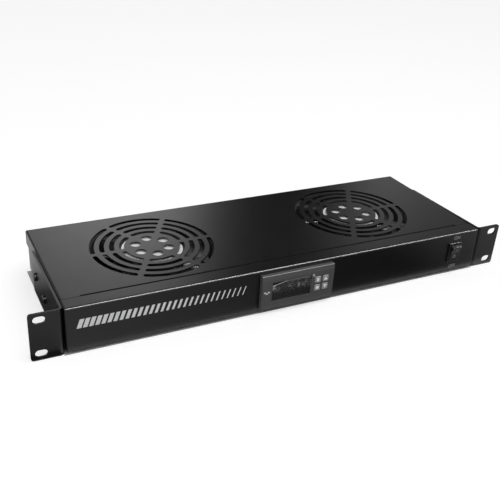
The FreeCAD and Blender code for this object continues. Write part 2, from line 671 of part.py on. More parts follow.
# ---------------------------------------------------------------- fans
def fan_frame(centre):
    """Cast frame: two square flanges, round duct, four struts, motor plate and bearing tube."""
    half = FAN_SIZE / 2
    top = centre + Z_AXIS * FAN_HEIGHT

    def flange(z0):
        plate = box(centre.x - half, centre.x + half, centre.y - half, centre.y + half, z0, z0 + FAN_FLANGE)
        return rounded(plate, FAN_CORNER, Z_AXIS)

    frame = fuse([flange(centre.z), flange(top.z - FAN_FLANGE), cylinder(half, centre, top)])
    frame = frame.cut(cylinder(FAN_BORE_R, centre - Z_AXIS * PAST, top + Z_AXIS * PAST))
    plate_low = top - Z_AXIS * MOTOR_PLATE
    pieces = [frame, cylinder(MOTOR_R, plate_low, top)]
    strut = box(centre.x + MOTOR_R - PAST, centre.x + FAN_BORE_R + PAST, centre.y - STRUT_WIDTH / 2,
                centre.y + STRUT_WIDTH / 2, top.z - STRUT_DEPTH, top.z - LABEL_THICK)
    for quarter in range(4):
        pieces.append(turned(strut, centre, Z_AXIS, 45 + 90 * quarter))
    tube_low = centre + Z_AXIS * TUBE_LOW
    pieces.append(cylinder(TUBE_R, tube_low, plate_low + Z_AXIS * (MOTOR_PLATE / 2)))
    frame = fuse(pieces)
    cuts = [cylinder(BUSH_R + SEAT, tube_low - Z_AXIS * PAST, plate_low + Z_AXIS * BUSH_RECESS),
            cylinder(LABEL_R + LABEL_GAP, top - Z_AXIS * LABEL_THICK, top + Z_AXIS * PAST)]
    for spot in fan_hole_points(centre):
        through = Z_AXIS * (FAN_HEIGHT + PAST)
        cuts.append(cylinder(M4_R + HOLE_CLEARANCE, spot - Z_AXIS * PAST, spot + through))
    return frame.cut(Part.makeCompound(cuts))


def blade_section(reach, chord, angle, middle_z, centre):
    """Cambered blade outline in the plane at a reach from the axis, as a closed wire."""
    tilt = math.radians(angle)
    along = Vector(0, math.cos(tilt), math.sin(tilt))
    normal = Vector(0, -math.sin(tilt), math.cos(tilt))
    middle = centre + Vector(reach, 0, middle_z)
    ends = [middle - along * (chord / 2), middle + along * (chord / 2)]
    half = normal * (BLADE_THICK / 2)
    crown = middle + normal * BLADE_CAMBER
    return Part.Wire([
        Part.Arc(ends[0] - half, crown - half, ends[1] - half).toShape(),
        Part.LineSegment(ends[1] - half, ends[1] + half).toShape(),
        Part.Arc(ends[1] + half, crown + half, ends[0] + half).toShape(),
        Part.LineSegment(ends[0] + half, ends[0] - half).toShape()])


def fan_rotor(centre):
    """Moulded hub cup with its blades."""
    low = centre + Z_AXIS * HUB_LOW
    rim = centre + Z_AXIS * (FAN_HEIGHT - MOTOR_PLATE - HUB_GAP)
    inner_r = HUB_R - HUB_WALL
    hub = cylinder(HUB_R, low, rim).cut(cylinder(inner_r, low + Z_AXIS * HUB_FLOOR, rim + Z_AXIS * PAST))
    hub = fuse([hub, cylinder(BOSS_R, low, low + Z_AXIS * BOSS_HEIGHT)])
    middle_z = (low.z + rim.z) / 2 - centre.z
    root = blade_section(BLADE_ROOT_REACH, BLADE_ROOT_CHORD, BLADE_ROOT_ANGLE, middle_z, centre)
    tip = blade_section(FAN_BORE_R + PAST, BLADE_TIP_CHORD, BLADE_TIP_ANGLE, middle_z, centre)
    blade = Part.makeLoft([root, tip], True, True)
    sweep = ring(FAN_BORE_R - TIP_GAP, HUB_R - HUB_WALL / 2, centre, centre + Z_AXIS * FAN_HEIGHT)
    blade = blade.common(sweep)
    blades = [turned(blade, centre, Z_AXIS, 360 / BLADE_COUNT * step) for step in range(BLADE_COUNT)]
    rotor = fuse([hub] + blades)
    return rotor.cut(cylinder(SHAFT_R + SEAT, low - Z_AXIS * PAST, low + Z_AXIS * (BOSS_HEIGHT + PAST)))


def fan_shaft(centre):
    """Rotor shaft with the groove for its clip."""
    start = centre + Z_AXIS * HUB_LOW
    end = centre + Z_AXIS * SHAFT_END
    groove_high = end - Z_AXIS * CLIP_BELOW_END
    groove_low = groove_high - Z_AXIS * CLIP_THICK
    shaft = cylinder(SHAFT_R, start, end)
    return shaft.cut(ring(SHAFT_R + PAST, CLIP_SEAT_R, groove_low, groove_high))


def fan_clip(centre):
    """Retaining clip in the shaft's groove, above the bush."""
    low = centre + Z_AXIS * (SHAFT_END - CLIP_BELOW_END - CLIP_THICK)
    return ring(CLIP_R, CLIP_SEAT_R + SEAT, low, low + Z_AXIS * CLIP_THICK)


def fan_bush(centre):
    """Sintered sleeve that the shaft runs in."""
    low = centre + Z_AXIS * TUBE_LOW
    high = centre + Z_AXIS * (SHAFT_END - CLIP_BELOW_END - CLIP_THICK - CLIP_PLAY)
    return ring(BUSH_R, SHAFT_R + SHAFT_CLEARANCE, low, high)


def fan_core(centre):
    """Laminated stator core with its poles."""
    low = centre + Z_AXIS * CORE_Z
    high = low + Z_AXIS * CORE_HEIGHT
    pieces = [cylinder(TUBE_R + CORE_YOKE, low, high)]
    shoes = ring(CORE_R, CORE_R - SHOE, low, high)
    reach = 2 * CORE_R
    across = reach * math.tan(math.radians(SHOE_HALF_ANGLE))
    wedge = prism([low, low + Vector(reach, -across, 0), low + Vector(reach, across, 0)],
                  Z_AXIS * CORE_HEIGHT)
    shoe = shoes.common(wedge)
    arm = box(low.x + TUBE_R + CORE_YOKE / 2, low.x + CORE_R - SHOE / 2,
              low.y - POLE_WIDTH / 2, low.y + POLE_WIDTH / 2, low.z, high.z)
    for pole in range(POLE_COUNT):
        for piece in (shoe, arm):
            pieces.append(turned(piece, low, Z_AXIS, 360 / POLE_COUNT * pole))
    return fuse(pieces).cut(cylinder(TUBE_R + SEAT, low - Z_AXIS * PAST, high + Z_AXIS * PAST))


def fan_coils(centre):
    """Four windings, one round each pole."""
    low = centre + Z_AXIS * CORE_Z
    inner_half = POLE_WIDTH / 2 + SEAT
    outer_half = inner_half + COIL_WALL
    x0 = low.x + TUBE_R + CORE_YOKE + COIL_GAP
    x1 = low.x + math.sqrt((CORE_R - SHOE - COIL_GAP) ** 2 - outer_half ** 2)
    coil = box(x0, x1, low.y - outer_half, low.y + outer_half,
               low.z - COIL_WALL, low.z + CORE_HEIGHT + COIL_WALL)
    coil = rounded(coil, COIL_ROUND, X_AXIS)
    coil = coil.cut(box(x0 - PAST, x1 + PAST, low.y - inner_half, low.y + inner_half,
                        low.z - SEAT, low.z + CORE_HEIGHT + SEAT))
    return [turned(coil, low, Z_AXIS, 360 / POLE_COUNT * pole) for pole in range(POLE_COUNT)]


def fan_cage(centre):
    """Rotor cage ring pressed into the hub cup, round the stator."""
    low = centre + Z_AXIS * (CORE_Z - CAGE_OVERHANG)
    outer_r = HUB_R - HUB_WALL - SEAT
    return ring(outer_r, CORE_R + CAGE_GAP, low, low + Z_AXIS * (CORE_HEIGHT + 2 * CAGE_OVERHANG))


def fan_label(centre):
    """Plain foil disc in the motor plate's recess."""
    low = centre + Z_AXIS * (FAN_HEIGHT - LABEL_THICK)
    return cylinder(LABEL_R, low, low + Z_AXIS * LABEL_THICK)


def fan_fasteners():
    """Screws up through the floor and nuts on the lower flanges."""
    screws = []
    nuts = []
    for centre in FAN_CENTRES.values():
        for spot in fan_hole_points(centre):
            under = spot - Z_AXIS * SHEET
            length = SHEET + FAN_FLANGE + NUT_HEIGHT + FLOOR_SHANK_PAST
            screws.append(pan_screw(under, Z_AXIS * -1, PAN_HEAD_R, LOW_HEAD, M4_R, length))
            nuts.append(hex_nut(spot + Z_AXIS * FAN_FLANGE, Z_AXIS, NUT_AF, NUT_HEIGHT, M4_R + SEAT))
    return screws, nuts


# ---------------------------------------------------------------- thermostat
def key_centre(column, row):
    """Middle of one button on the panel."""
    return Vector(THERMO_X + KEY_DX[column], 0, THERMO_Z + KEY_DZ[row])


def thermostat_bezel():
    """Front bezel with a sloped upper and lower strip, a lens seat and four button holes."""
    half_h = BEZEL_H / 2
    band = BEZEL_BAND / 2
    left = THERMO_X - BEZEL_W / 2
    outline = ((BEZEL_Y, -band), (BEZEL_Y, band), (BEZEL_Y + BEZEL_SLOPE, half_h), (PANEL_Y, half_h),
               (PANEL_Y, -half_h), (BEZEL_Y + BEZEL_SLOPE, -half_h))
    points = [Vector(left, y, THERMO_Z + z) for y, z in outline]
    bezel = prism(points, X_AXIS * BEZEL_W)
    bezel = rounded(bezel, BEZEL_ROUND, X_AXIS,
                    lambda p: p.y < BEZEL_BACK_Y and abs(p.z - THERMO_Z) > (half_h + band) / 2)
    bezel = bezel.cut(centred(THERMO_X, THERMO_Z, CUTOUT_W, CUTOUT_H, BEZEL_BACK_Y, PANEL_Y + PAST))
    x = THERMO_X + WINDOW_DX
    z = THERMO_Z + WINDOW_DZ
    bezel = bezel.cut(centred(x, z, WINDOW_W, WINDOW_H, BEZEL_Y - PAST, LENS_Y + LENS_THICK))
    bezel = bezel.cut(centred(x, z, WINDOW_W - 2 * WINDOW_LEDGE, WINDOW_H - 2 * WINDOW_LEDGE,
                              BEZEL_Y, BEZEL_BACK_Y + PAST))
    for column in range(2):
        for row in range(2):
            spot = key_centre(column, row)
            hole = centred(spot.x, spot.z, KEY_W + 2 * KEY_GAP, KEY_H + 2 * KEY_GAP,
                           BEZEL_Y - PAST, BEZEL_BACK_Y + PAST)
            bezel = bezel.cut(rounded(hole, KEY_HOLE_CORNER, Y_AXIS))
    return bezel


def thermostat_case():
    """Rear case, open at the front and behind the terminal block."""
    width = CUTOUT_W - 2 * CUTOUT_GAP
    height = CUTOUT_H - 2 * CUTOUT_GAP
    case = centred(THERMO_X, THERMO_Z, width, height, BEZEL_BACK_Y, CASE_END_Y)
    case = rounded(case, CASE_CORNER, Y_AXIS)
    case = case.cut(centred(THERMO_X, THERMO_Z, width - 2 * CASE_WALL, height - 2 * CASE_WALL,
                            BEZEL_BACK_Y - PAST, CASE_END_Y - CASE_WALL))
    return case.cut(centred(THERMO_X, TERMINAL_Z, TERMINAL_W + 2 * BOARD_GAP, TERMINAL_H + 2 * BOARD_GAP,
                            CASE_END_Y - CASE_WALL - PAST, CASE_END_Y + PAST))


def display_lens():
    """Dark window in the bezel."""
    lens = centred(THERMO_X + WINDOW_DX, THERMO_Z + WINDOW_DZ, WINDOW_W - 2 * LENS_GAP,
                   WINDOW_H - 2 * LENS_GAP, LENS_Y, LENS_Y + LENS_THICK)
    return rounded(lens, LENS_ROUND, X_AXIS, lambda p: p.y < LENS_Y + LENS_THICK / 2)


def button(column, row):
    """Push button: cap through the bezel, stop flange behind it and stem to its contact."""
    spot = key_centre(column, row)
    front = BEZEL_Y - KEY_PROUD
    flange_back = KEY_STOP_Y + KEY_FLANGE
    cap = rounded(centred(spot.x, spot.z, KEY_W, KEY_H, front, flange_back), KEY_CORNER, Y_AXIS)
    cap = rounded(cap, KEY_ROUND, X_AXIS, lambda p: p.y < BEZEL_Y)
    flange = centred(spot.x, spot.z, KEY_W + 2 * KEY_FLANGE_X, KEY_H + 2 * KEY_FLANGE_Z,
                     KEY_STOP_Y, flange_back)
    stem = cylinder(KEY_STEM_R, Vector(spot.x, KEY_STOP_Y, spot.z),
                    Vector(spot.x, flange_back + KEY_STEM, spot.z))
    return fuse([cap, flange, stem])


def tact_switches():
    """Four push contacts on the front board."""
    blocks = []
    for column in range(2):
        for row in range(2):
            spot = key_centre(column, row)
            blocks.append(centred(spot.x, spot.z, TACT_SIZE, TACT_SIZE, TACT_Y, BOARD_Y))
    return blocks


def display_module():
    """Digit block between the lens and the front board."""
    margin = WINDOW_LEDGE + DISPLAY_GAP
    return centred(THERMO_X + WINDOW_DX, THERMO_Z + WINDOW_DZ, WINDOW_W - 2 * margin, WINDOW_H - 2 * margin,
                   LENS_Y + LENS_THICK + DISPLAY_GAP, BOARD_Y)


def case_inside():
    """Width and height of the room inside the thermostat's case."""
    return (CUTOUT_W - 2 * CUTOUT_GAP - 2 * CASE_WALL, CUTOUT_H - 2 * CUTOUT_GAP - 2 * CASE_WALL)


def front_board():
    """Upright board behind the bezel."""
    width, height = case_inside()
    return centred(THERMO_X, THERMO_Z, width - 2 * BOARD_GAP, height - 2 * BOARD_GAP,
                   BOARD_Y, BOARD_Y + BOARD)


def main_board():
    """Level board from the front board to the terminal block."""
    width = case_inside()[0] - 2 * BOARD_GAP
    z0 = TERMINAL_Z - TERMINAL_H / 2 - BOARD
    return centred(THERMO_X, z0 + BOARD / 2, width, BOARD,
                   BOARD_Y + BOARD, CASE_END_Y - CASE_WALL - BOARD_GAP)


def board_parts():
    """Transformer and relay on the main board."""
    z0 = TERMINAL_Z - TERMINAL_H / 2
    y0 = BOARD_Y + BOARD + BOARD_MARGIN
    blocks = []
    for (width, depth, height), dx in ((TRANSFORMER, TRANSFORMER_DX), (RELAY, RELAY_DX)):
        blocks.append(centred(THERMO_X + dx, z0 + height / 2, width, height, y0, y0 + depth))
    return blocks


def terminal_block():
    """Screw terminals that stick out behind the case."""
    block = centred(THERMO_X, TERMINAL_Z, TERMINAL_W, TERMINAL_H, TERMINAL_Y, TERMINAL_Y + TERMINAL_D)
    cuts = []
    hole_r = TERMINAL_PITCH * WAY_HOLE
    for way in range(TERMINAL_WAYS):
        mouth = terminal_point(way)
        cuts.append(cylinder(hole_r, mouth, mouth + Y_AXIS * (WIRE_DEPTH + PAST)))
        screw = Vector(mouth.x, TERMINAL_Y + TERMINAL_D - WAY_SCREW_Y,
                       TERMINAL_Z + TERMINAL_H / 2 - WAY_SCREW_DEPTH)
        cuts.append(cylinder(hole_r, screw, screw + Z_AXIS * (WAY_SCREW_DEPTH + PAST)))
    return block.cut(Part.makeCompound(cuts))


def terminal_point(way):
    """Bottom of the wire hole of one way."""
    x = THERMO_X - TERMINAL_W / 2 + TERMINAL_PITCH * (way + 0.5)
    return Vector(x, TERMINAL_Y + TERMINAL_D - WIRE_DEPTH, TERMINAL_Z - WIRE_DROP)


def panel_grips():
    """Two side grips that clamp the case against the panel's back."""
    inner = CUTOUT_W / 2 - CUTOUT_GAP
    grips = []
    for side in (-1, 1):
        x0 = THERMO_X + side * inner
        grip = box(x0, x0 + side * GRIP_THICK, PANEL_BACK_Y, PANEL_BACK_Y + GRIP_LENGTH,
                   THERMO_Z - GRIP_HEIGHT / 2, THERMO_Z + GRIP_HEIGHT / 2)
        relief = box(x0 + side * GRIP_WEB, x0 + side * (GRIP_THICK + PAST),
                     PANEL_BACK_Y + GRIP_RELIEF_END, PANEL_BACK_Y + GRIP_LENGTH - GRIP_RELIEF_END,
                     THERMO_Z - GRIP_RELIEF_HEIGHT / 2, THERMO_Z + GRIP_RELIEF_HEIGHT / 2)
        grips.append(grip.cut(relief))
    return grips


# ---------------------------------------------------------------- rocker switch
def switch_housing():
    """Switch body with its rim on the panel, snap ramps behind it and pivot holes."""
    rim = centred(SWITCH_X, SWITCH_Z, SWITCH_W, SWITCH_H, PANEL_Y - SWITCH_RIM, PANEL_Y)
    rim = rounded(rim, SWITCH_CORNER, Y_AXIS)
    rim = rounded(rim, SWITCH_ROUND, X_AXIS, lambda p: p.y < PANEL_Y - SWITCH_RIM / 2)
    body = centred(SWITCH_X, SWITCH_Z, SWITCH_BODY_W, SWITCH_BODY_H, PANEL_Y, SWITCH_END_Y)
    ramps = []
    for side in (-1, 1):
        root = Vector(SWITCH_X - SNAP_W / 2, PANEL_BACK_Y + SNAP_GAP,
                      SWITCH_Z + side * (SWITCH_BODY_H / 2 - SNAP_ROOT))
        crest = root + Z_AXIS * side * (SNAP_ROOT + SNAP_PROUD)
        ramps.append(prism([root, crest, root + Y_AXIS * SNAP_LENGTH], X_AXIS * SNAP_W))
    housing = fuse([rim, body] + ramps)
    opening = centred(SWITCH_X, SWITCH_Z, ROCKER_W + 2 * ROCKER_GAP, 2 * (ROCKER_REACH + ROCKER_END_GAP),
                      PANEL_Y - SWITCH_RIM - PAST, PANEL_Y + ROCKER_MOUTH)
    inside = centred(SWITCH_X, SWITCH_Z, SWITCH_BODY_W - 2 * SWITCH_WALL, SWITCH_BODY_H - 2 * SWITCH_WALL,
                     PANEL_Y, SWITCH_END_Y - SWITCH_WALL)
    reach = X_AXIS * (SWITCH_BODY_W / 2 + PAST)
    hole = cylinder(PIVOT_R + PIVOT_CLEARANCE, SWITCH_PIVOT - reach, SWITCH_PIVOT + reach)
    slots = [blade_slot.common(body) for blade_slot in switch_blades(BLADE_GAP)]
    return housing.cut(Part.makeCompound([opening, inside, hole])).cut(Part.makeCompound(slots))


def switch_rocker():
    """Rocker with its two faces and its trunnions, in the off position: upper end out."""
    end = ROCKER_REACH
    nose = end + ROCKER_NOSE
    heel = end - ROCKER_HEEL
    profile = ((-end, ROCKER_END_OUT), (0, ROCKER_MIDDLE_OUT), (end, ROCKER_END_OUT),
               (nose, ROCKER_NOSE_OUT), (heel, -ROCKER_BACK),
               (-heel, -ROCKER_BACK), (-nose, ROCKER_NOSE_OUT))
    points = [Vector(SWITCH_X - ROCKER_W / 2, PANEL_Y - out, SWITCH_Z + up) for up, out in profile]
    rocker = prism(points, X_AXIS * ROCKER_W)
    end_y = PANEL_Y - (ROCKER_MIDDLE_OUT + ROCKER_END_OUT) / 2
    rocker = rounded(rocker, ROCKER_ROUND, X_AXIS, lambda p: p.y < end_y)
    trunnion = X_AXIS * (SWITCH_BODY_W / 2 - PIVOT_SHORT)
    rocker = fuse([rocker, cylinder(PIVOT_R, SWITCH_PIVOT - trunnion, SWITCH_PIVOT + trunnion)])
    return turned(rocker, SWITCH_PIVOT, X_AXIS, ROCKER_TILT)


def switch_blades(grow=0.0):
    """Two contact blades through the switch's rear wall."""
    blades = []
    for z in BLADE_Z:
        blades.append(centred(SWITCH_X, SWITCH_Z + z, BLADE_W + 2 * grow, BLADE_T + 2 * grow,
                              SWITCH_END_Y - BLADE_INSIDE - grow, SWITCH_END_Y + BLADE_L))
    return blades


# ---------------------------------------------------------------- mains inlet
def socket_outline(y0, y1):
    """Room inside the inlet's socket: a rectangle with its two lower corners cut."""
    w = SOCKET_W / 2
    h = SOCKET_H / 2
    c = SOCKET_CHAMFER
    corners = ((-w, h), (w, h), (w, -h + c), (w - c, -h), (-w + c, -h), (-w, -h + c))
    points = [Vector(INLET_X + x, y0, INLET_Z + z) for x, z in corners]
    return prism(points, Y_AXIS * (y1 - y0))


def inlet_body():
    """Snap-in three-pin inlet with its flange on the rear wall."""
    flange = centred(INLET_X, INLET_Z, INLET_FLANGE_W, INLET_FLANGE_H, INLET_Y, INLET_Y + INLET_FLANGE_T)
    flange = rounded(flange, INLET_CORNER, Y_AXIS)
    flange = rounded(flange, INLET_ROUND, X_AXIS, lambda p: p.y > INLET_Y + INLET_FLANGE_T / 2)
    body = centred(INLET_X, INLET_Z, INLET_W, INLET_H, INLET_END_Y, INLET_Y)
    inlet = fuse([flange, body])
    inlet = inlet.cut(socket_outline(SOCKET_FLOOR_Y, INLET_Y + INLET_FLANGE_T + PAST))
    return inlet.cut(Part.makeCompound(inlet_pins(PIN_GAP)))


def inlet_pins(grow=0.0):
    """Three flat pins with their tails behind the inlet."""
    pins = []
    for x, z in INLET_PINS:
        pin = centred(INLET_X + x, INLET_Z + z, PIN_W + 2 * grow, PIN_H + 2 * grow,
                      INLET_END_Y - BLADE_L, INLET_Y + INLET_FLANGE_T - PIN_SINK)
        pins.append(pin)
    return pins


# ---------------------------------------------------------------- leads and sensor
def inlet_tail(index):
    """End of one pin's tail behind the inlet: 0 live, 1 earth, 2 neutral."""
    x, z = INLET_PINS[index]
    return Vector(INLET_X + x, INLET_END_Y - BLADE_L, INLET_Z + z)


def switch_tail(index):
    """End of one blade behind the switch: 0 lower, 1 upper."""
    return Vector(SWITCH_X, SWITCH_END_Y + BLADE_L, SWITCH_Z + BLADE_Z[index])


def build_leads():
    """The leads that the tray holds from end to end."""
    live_start = switch_tail(0)
    live_end = inlet_tail(0)
    live = [live_start, live_start + Vector(0, 16, 0), Vector(SWITCH_X - 4.65, 62, -8),
            Vector(INLET_X - 4, 82, -11),
            live_end - Vector(0, 14, 0), live_end]
    supply_start = switch_tail(1)
    supply_way = terminal_point(7)
    supply = [supply_start, supply_start + Vector(0, 7, 0), supply_start + Vector(-6, 12, -4),
              Vector(SWITCH_X - 11.15, 20, -8), Vector(SWITCH_X - 18.65, 9, -12),
              Vector(130, 7.5, -14), Vector(90, 9, -15), Vector(58, 7.5, -14),
              Vector(45, 12, -12), Vector(43.5, 34, -9), Vector(44.5, 58, -6),
              Vector(41, 72, -4), supply_way + Vector(4, 14, 0), supply_way + Vector(0, 7, 0), supply_way]
    neutral_start = inlet_tail(2)
    neutral_way = terminal_point(6)
    neutral = [neutral_start, neutral_start - Vector(0, 9, 0), Vector(INLET_X + 9, 96, -12),
               Vector(INLET_X + 6, 70, -15.5), Vector(INLET_X + 4, 42, -16),
               Vector(SWITCH_X + 1.35, 20, -15.5), Vector(SWITCH_X - 16.65, 5, -15.8),
               Vector(130, 3.5, -16), Vector(90, 4.5, -16.2), Vector(60, 3, -16),
               Vector(46.5, 6, -15.6), Vector(46.6, 32, -15), Vector(47, 58, -12),
               Vector(46.5, 78, -8), Vector(36, 86, -6), neutral_way + Vector(3, 20, 0),
               neutral_way + Vector(0, 9, 0), neutral_way]
    earth_start = inlet_tail(1)
    tag = EARTH_POINT + Vector(0, TAG_R + LEAD_GAP, LEAD_R + 0.2)
    earth = [earth_start, earth_start - Vector(0, 7, 0), Vector(INLET_X - 4, 107, -3.5),
             Vector(INLET_X - 10, 108, -6), tag + Vector(0, 8, 4), tag]
    left_start = FAN_CENTRES["left"] + Vector(FAN_SIZE / 2, 0, 16.6)
    left_way = terminal_point(1)
    left_fan = [left_start, left_start + Vector(8, 0, 0), left_start + Vector(16, 6, -1),
                Vector(-25, 86, -4), left_way + Vector(0, 18, 0), left_way]
    right_start = FAN_CENTRES["right"] + Vector(-FAN_SIZE / 2, 0, 23.6)
    right_way = terminal_point(5)
    right_fan = [right_start, right_start + Vector(-8, 0, 0), right_start + Vector(-17, 9, 0),
                 Vector(24, 88, 1), right_way + Vector(0, 16, 0), right_way]
    sensor_way = terminal_point(3)
    probe_end = probe_middle() - Vector(0, PROBE_LENGTH / 2, 0)
    sensor = [sensor_way, sensor_way + Vector(0, 9, 0), sensor_way + Vector(-1, 17, -4),
              probe_end - Vector(-1, 12, -3), probe_end - Vector(0, 5, 0), probe_end]
    routes = (("live_lead", live, LEAD_R), ("supply_lead", supply, LEAD_R),
              ("neutral_lead", neutral, LEAD_R), ("earth_lead", earth, LEAD_R),
              ("left_fan_lead", left_fan, FAN_LEAD_R),
              ("right_fan_lead", right_fan, FAN_LEAD_R), ("sensor_lead", sensor, SENSOR_LEAD_R))
    return {name: lead(name, points, radius) for name, points, radius in routes}


def probe_middle():
    """Middle of the sensor probe, held just above the floor."""
    return Vector(PROBE_X, PROBE_Y, FLOOR_Z + SADDLE_WALL + PROBE_R)


def sensor_probe():
    """Temperature probe in the air between the fans, with a rounded tip."""
    half = Y_AXIS * (PROBE_LENGTH / 2)
    probe = cylinder(PROBE_R, probe_middle() - half, probe_middle() + half)
    return probe.makeFillet(PROBE_R / 2, [edge for edge in probe.Edges if isinstance(edge.Curve, Part.Circle)
                                          and edge.CenterOfMass.y > PROBE_Y])


def probe_clip():
    """Saddle that holds the probe on the floor."""
    middle = probe_middle()
    half = Y_AXIS * (SADDLE_LENGTH / 2)
    outer_r = PROBE_R + SADDLE_WALL
    hoop = cylinder(outer_r, middle - half, middle + half)
    foot = box(middle.x - outer_r - SADDLE_FOOT, middle.x + outer_r, middle.y - half.y, middle.y + half.y,
               FLOOR_Z, FLOOR_Z + SADDLE_WALL)
    return fuse([hoop, foot]).cut(cylinder(PROBE_R + SEAT, middle - half * 2, middle + half * 2))


def earth_stud():
    """Welded stud with the tag and nut of the earth lead."""
    tag_top = EARTH_POINT + Z_AXIS * TAG_THICK
    stud = cylinder(STUD_R, EARTH_POINT, EARTH_POINT + Z_AXIS * STUD_HEIGHT)
    tag = ring(TAG_R, STUD_R + SEAT, EARTH_POINT, tag_top)
    nut = hex_nut(tag_top, Z_AXIS, NUT_AF, NUT_HEIGHT, STUD_R + SEAT)
    return [stud, tag, nut]


# ---------------------------------------------------------------- build
def main():
    os.makedirs("parts", exist_ok=True)
    save("base_tray", [base_tray()])
    save("top_cover", [top_cover()])
    save("left_ear_bracket", [ear_bracket(-1)])
    save("right_ear_bracket", [ear_bracket(1)])
    screws, spacers, nuts = arm_fasteners()
    save("bracket_screws", screws)
    save("bracket_spacers", spacers)
    save("bracket_nuts", nuts)
    screws, nuts = cover_fasteners()
    save("cover_screws", screws)
    save("cover_nuts", nuts)
    screws, nuts = fan_fasteners()
    save("fan_screws", screws)
    save("fan_nuts", nuts)
    for side, centre in FAN_CENTRES.items():
        save(side + "_fan_frame", [fan_frame(centre)])
        save(side + "_fan_rotor", [fan_rotor(centre)])
        save(side + "_fan_shaft", [fan_shaft(centre)])
        save(side + "_fan_clip", [fan_clip(centre)])
        save(side + "_fan_bush", [fan_bush(centre)])
        save(side + "_stator_core", [fan_core(centre)])
        save(side + "_stator_coils", fan_coils(centre))
        save(side + "_rotor_cage", [fan_cage(centre)])
        save(side + "_hub_label", [fan_label(centre)])
    save("thermostat_bezel", [thermostat_bezel()])
    save("thermostat_case", [thermostat_case()])
    save("display_lens", [display_lens()])
    save("display_module", [display_module()])
    save("front_board", [front_board()])
    save("main_board", [main_board()])
    transformer, relay = board_parts()
    save("board_transformer", [transformer])
    save("board_relay", [relay])
    save("terminal_block", [terminal_block()])
    save("panel_grips", panel_grips())
    save("tact_switches", tact_switches())
    for column in range(2):
        for row in range(2):
            save(KEY_NAMES[row][column], [button(column, row)])
    save("switch_housing", [switch_housing()])
    save("switch_rocker", [switch_rocker()])
    save("switch_blades", switch_blades())
    save("inlet_body", [inlet_body()])
    save("inlet_pins", inlet_pins())
    for name, tube in build_leads().items():
        save(name, [tube])
    save("sensor_probe", [sensor_probe()])
    save("probe_clip", [probe_clip()])
    save("earth_stud", earth_stud())


main()
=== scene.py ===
"""Finishes, printed marks, window film and studio for the rack fan tray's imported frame.

Everything is in metres, in the frame's own axes: X to the right, Y to the rear, Z up.
"""

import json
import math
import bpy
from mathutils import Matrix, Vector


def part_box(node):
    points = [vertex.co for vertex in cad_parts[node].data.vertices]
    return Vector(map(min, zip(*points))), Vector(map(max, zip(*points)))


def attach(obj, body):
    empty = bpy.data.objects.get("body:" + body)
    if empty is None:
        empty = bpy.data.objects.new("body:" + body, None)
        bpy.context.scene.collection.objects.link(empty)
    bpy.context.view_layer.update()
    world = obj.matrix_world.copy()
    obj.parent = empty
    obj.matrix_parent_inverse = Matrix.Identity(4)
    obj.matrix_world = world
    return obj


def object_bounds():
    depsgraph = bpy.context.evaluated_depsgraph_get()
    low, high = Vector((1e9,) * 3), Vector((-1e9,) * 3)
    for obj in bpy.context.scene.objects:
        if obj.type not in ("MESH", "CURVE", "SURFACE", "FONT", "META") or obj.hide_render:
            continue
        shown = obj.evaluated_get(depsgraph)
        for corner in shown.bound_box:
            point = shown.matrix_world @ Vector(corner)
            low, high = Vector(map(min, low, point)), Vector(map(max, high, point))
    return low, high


bl_info = {
    "name": "Rack fan tray finishes",
    "version": (1, 0, 0),
    "blender": (4, 5, 0),
    "location": "3D View > Sidebar > Fan Tray",
    "description": "Coats the fan tray's parts, adds its prints and film, and sets up a studio",
    "category": "Object",
}

import bmesh
import bpy
from bpy.props import FloatProperty, FloatVectorProperty, IntProperty, PointerProperty
from mathutils import Euler, Matrix, Vector, noise
from mathutils.bvhtree import BVHTree

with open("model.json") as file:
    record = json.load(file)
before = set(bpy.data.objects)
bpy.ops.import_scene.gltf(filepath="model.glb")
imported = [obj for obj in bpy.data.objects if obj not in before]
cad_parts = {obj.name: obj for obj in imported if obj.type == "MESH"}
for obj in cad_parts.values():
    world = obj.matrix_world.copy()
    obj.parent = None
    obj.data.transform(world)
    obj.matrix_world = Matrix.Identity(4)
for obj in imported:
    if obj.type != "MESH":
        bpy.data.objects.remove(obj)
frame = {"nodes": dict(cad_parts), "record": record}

MM = 0.001
NODE_SLOTS = {name: node.active_material.name for name, node in frame["nodes"].items()}
RECORD_COLOURS = {entry["slot"]: entry["base_color"] for entry in frame["record"]["materials"]}
CAD_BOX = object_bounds()
PANEL_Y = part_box("base_tray")[0].y
BEZEL_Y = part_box("thermostat_bezel")[0].y
FLOOR_Z = CAD_BOX[0].z
KEY_BODIES = {
    "button_menu": "key_menu",
    "button_up": "key_up",
    "button_power": "key_power",
    "button_down": "key_down",
}
FAN_SIDES = ("left", "right")
LENGTH = "NodeSocketFloat"
RAY_LEAD = 1.0               # metres ahead of the part from which a mark is pressed on a face

# Strokes of the printed signs
RING_SWEEP = 3.98            # quarter turns, just short of four so that the ends stay apart
RING_STEPS = 28
WAVE_STEPS = 24
WAVE_TURNS = 1.5             # waves in the airflow sign beside the window
WAVE_LENGTH = 5.6 * MM
WAVE_HEIGHT = 1.1 * MM
WAVE_STROKE = 0.8 * MM
WAVE_DX = -5.2 * MM          # from the window's left edge
WAVE_DZ = -0.2 * MM          # from the window's middle
DEGREE_DX = 2.1 * MM         # from the window's right edge; level with its upper edge
DEGREE_RADIUS = 0.75 * MM
DEGREE_STROKE = 0.4 * MM
DEGREE_STEPS = 24
DASH_DX = 1.1 * MM           # from the degree ring's middle
DASH_DZ = -1.5 * MM
DASH_SIZE = (1.6 * MM, 0.5 * MM)
DASH_CORNER = 0.2 * MM
ARROW_SIZE = (3.9 * MM, 3.3 * MM)
MENU_SIZE = (2.1 * MM, 3.7 * MM)
MENU_CORNER = 0.6 * MM
POWER_SIZE = (3.0 * MM, 3.0 * MM)
POWER_CORNER = 0.7 * MM
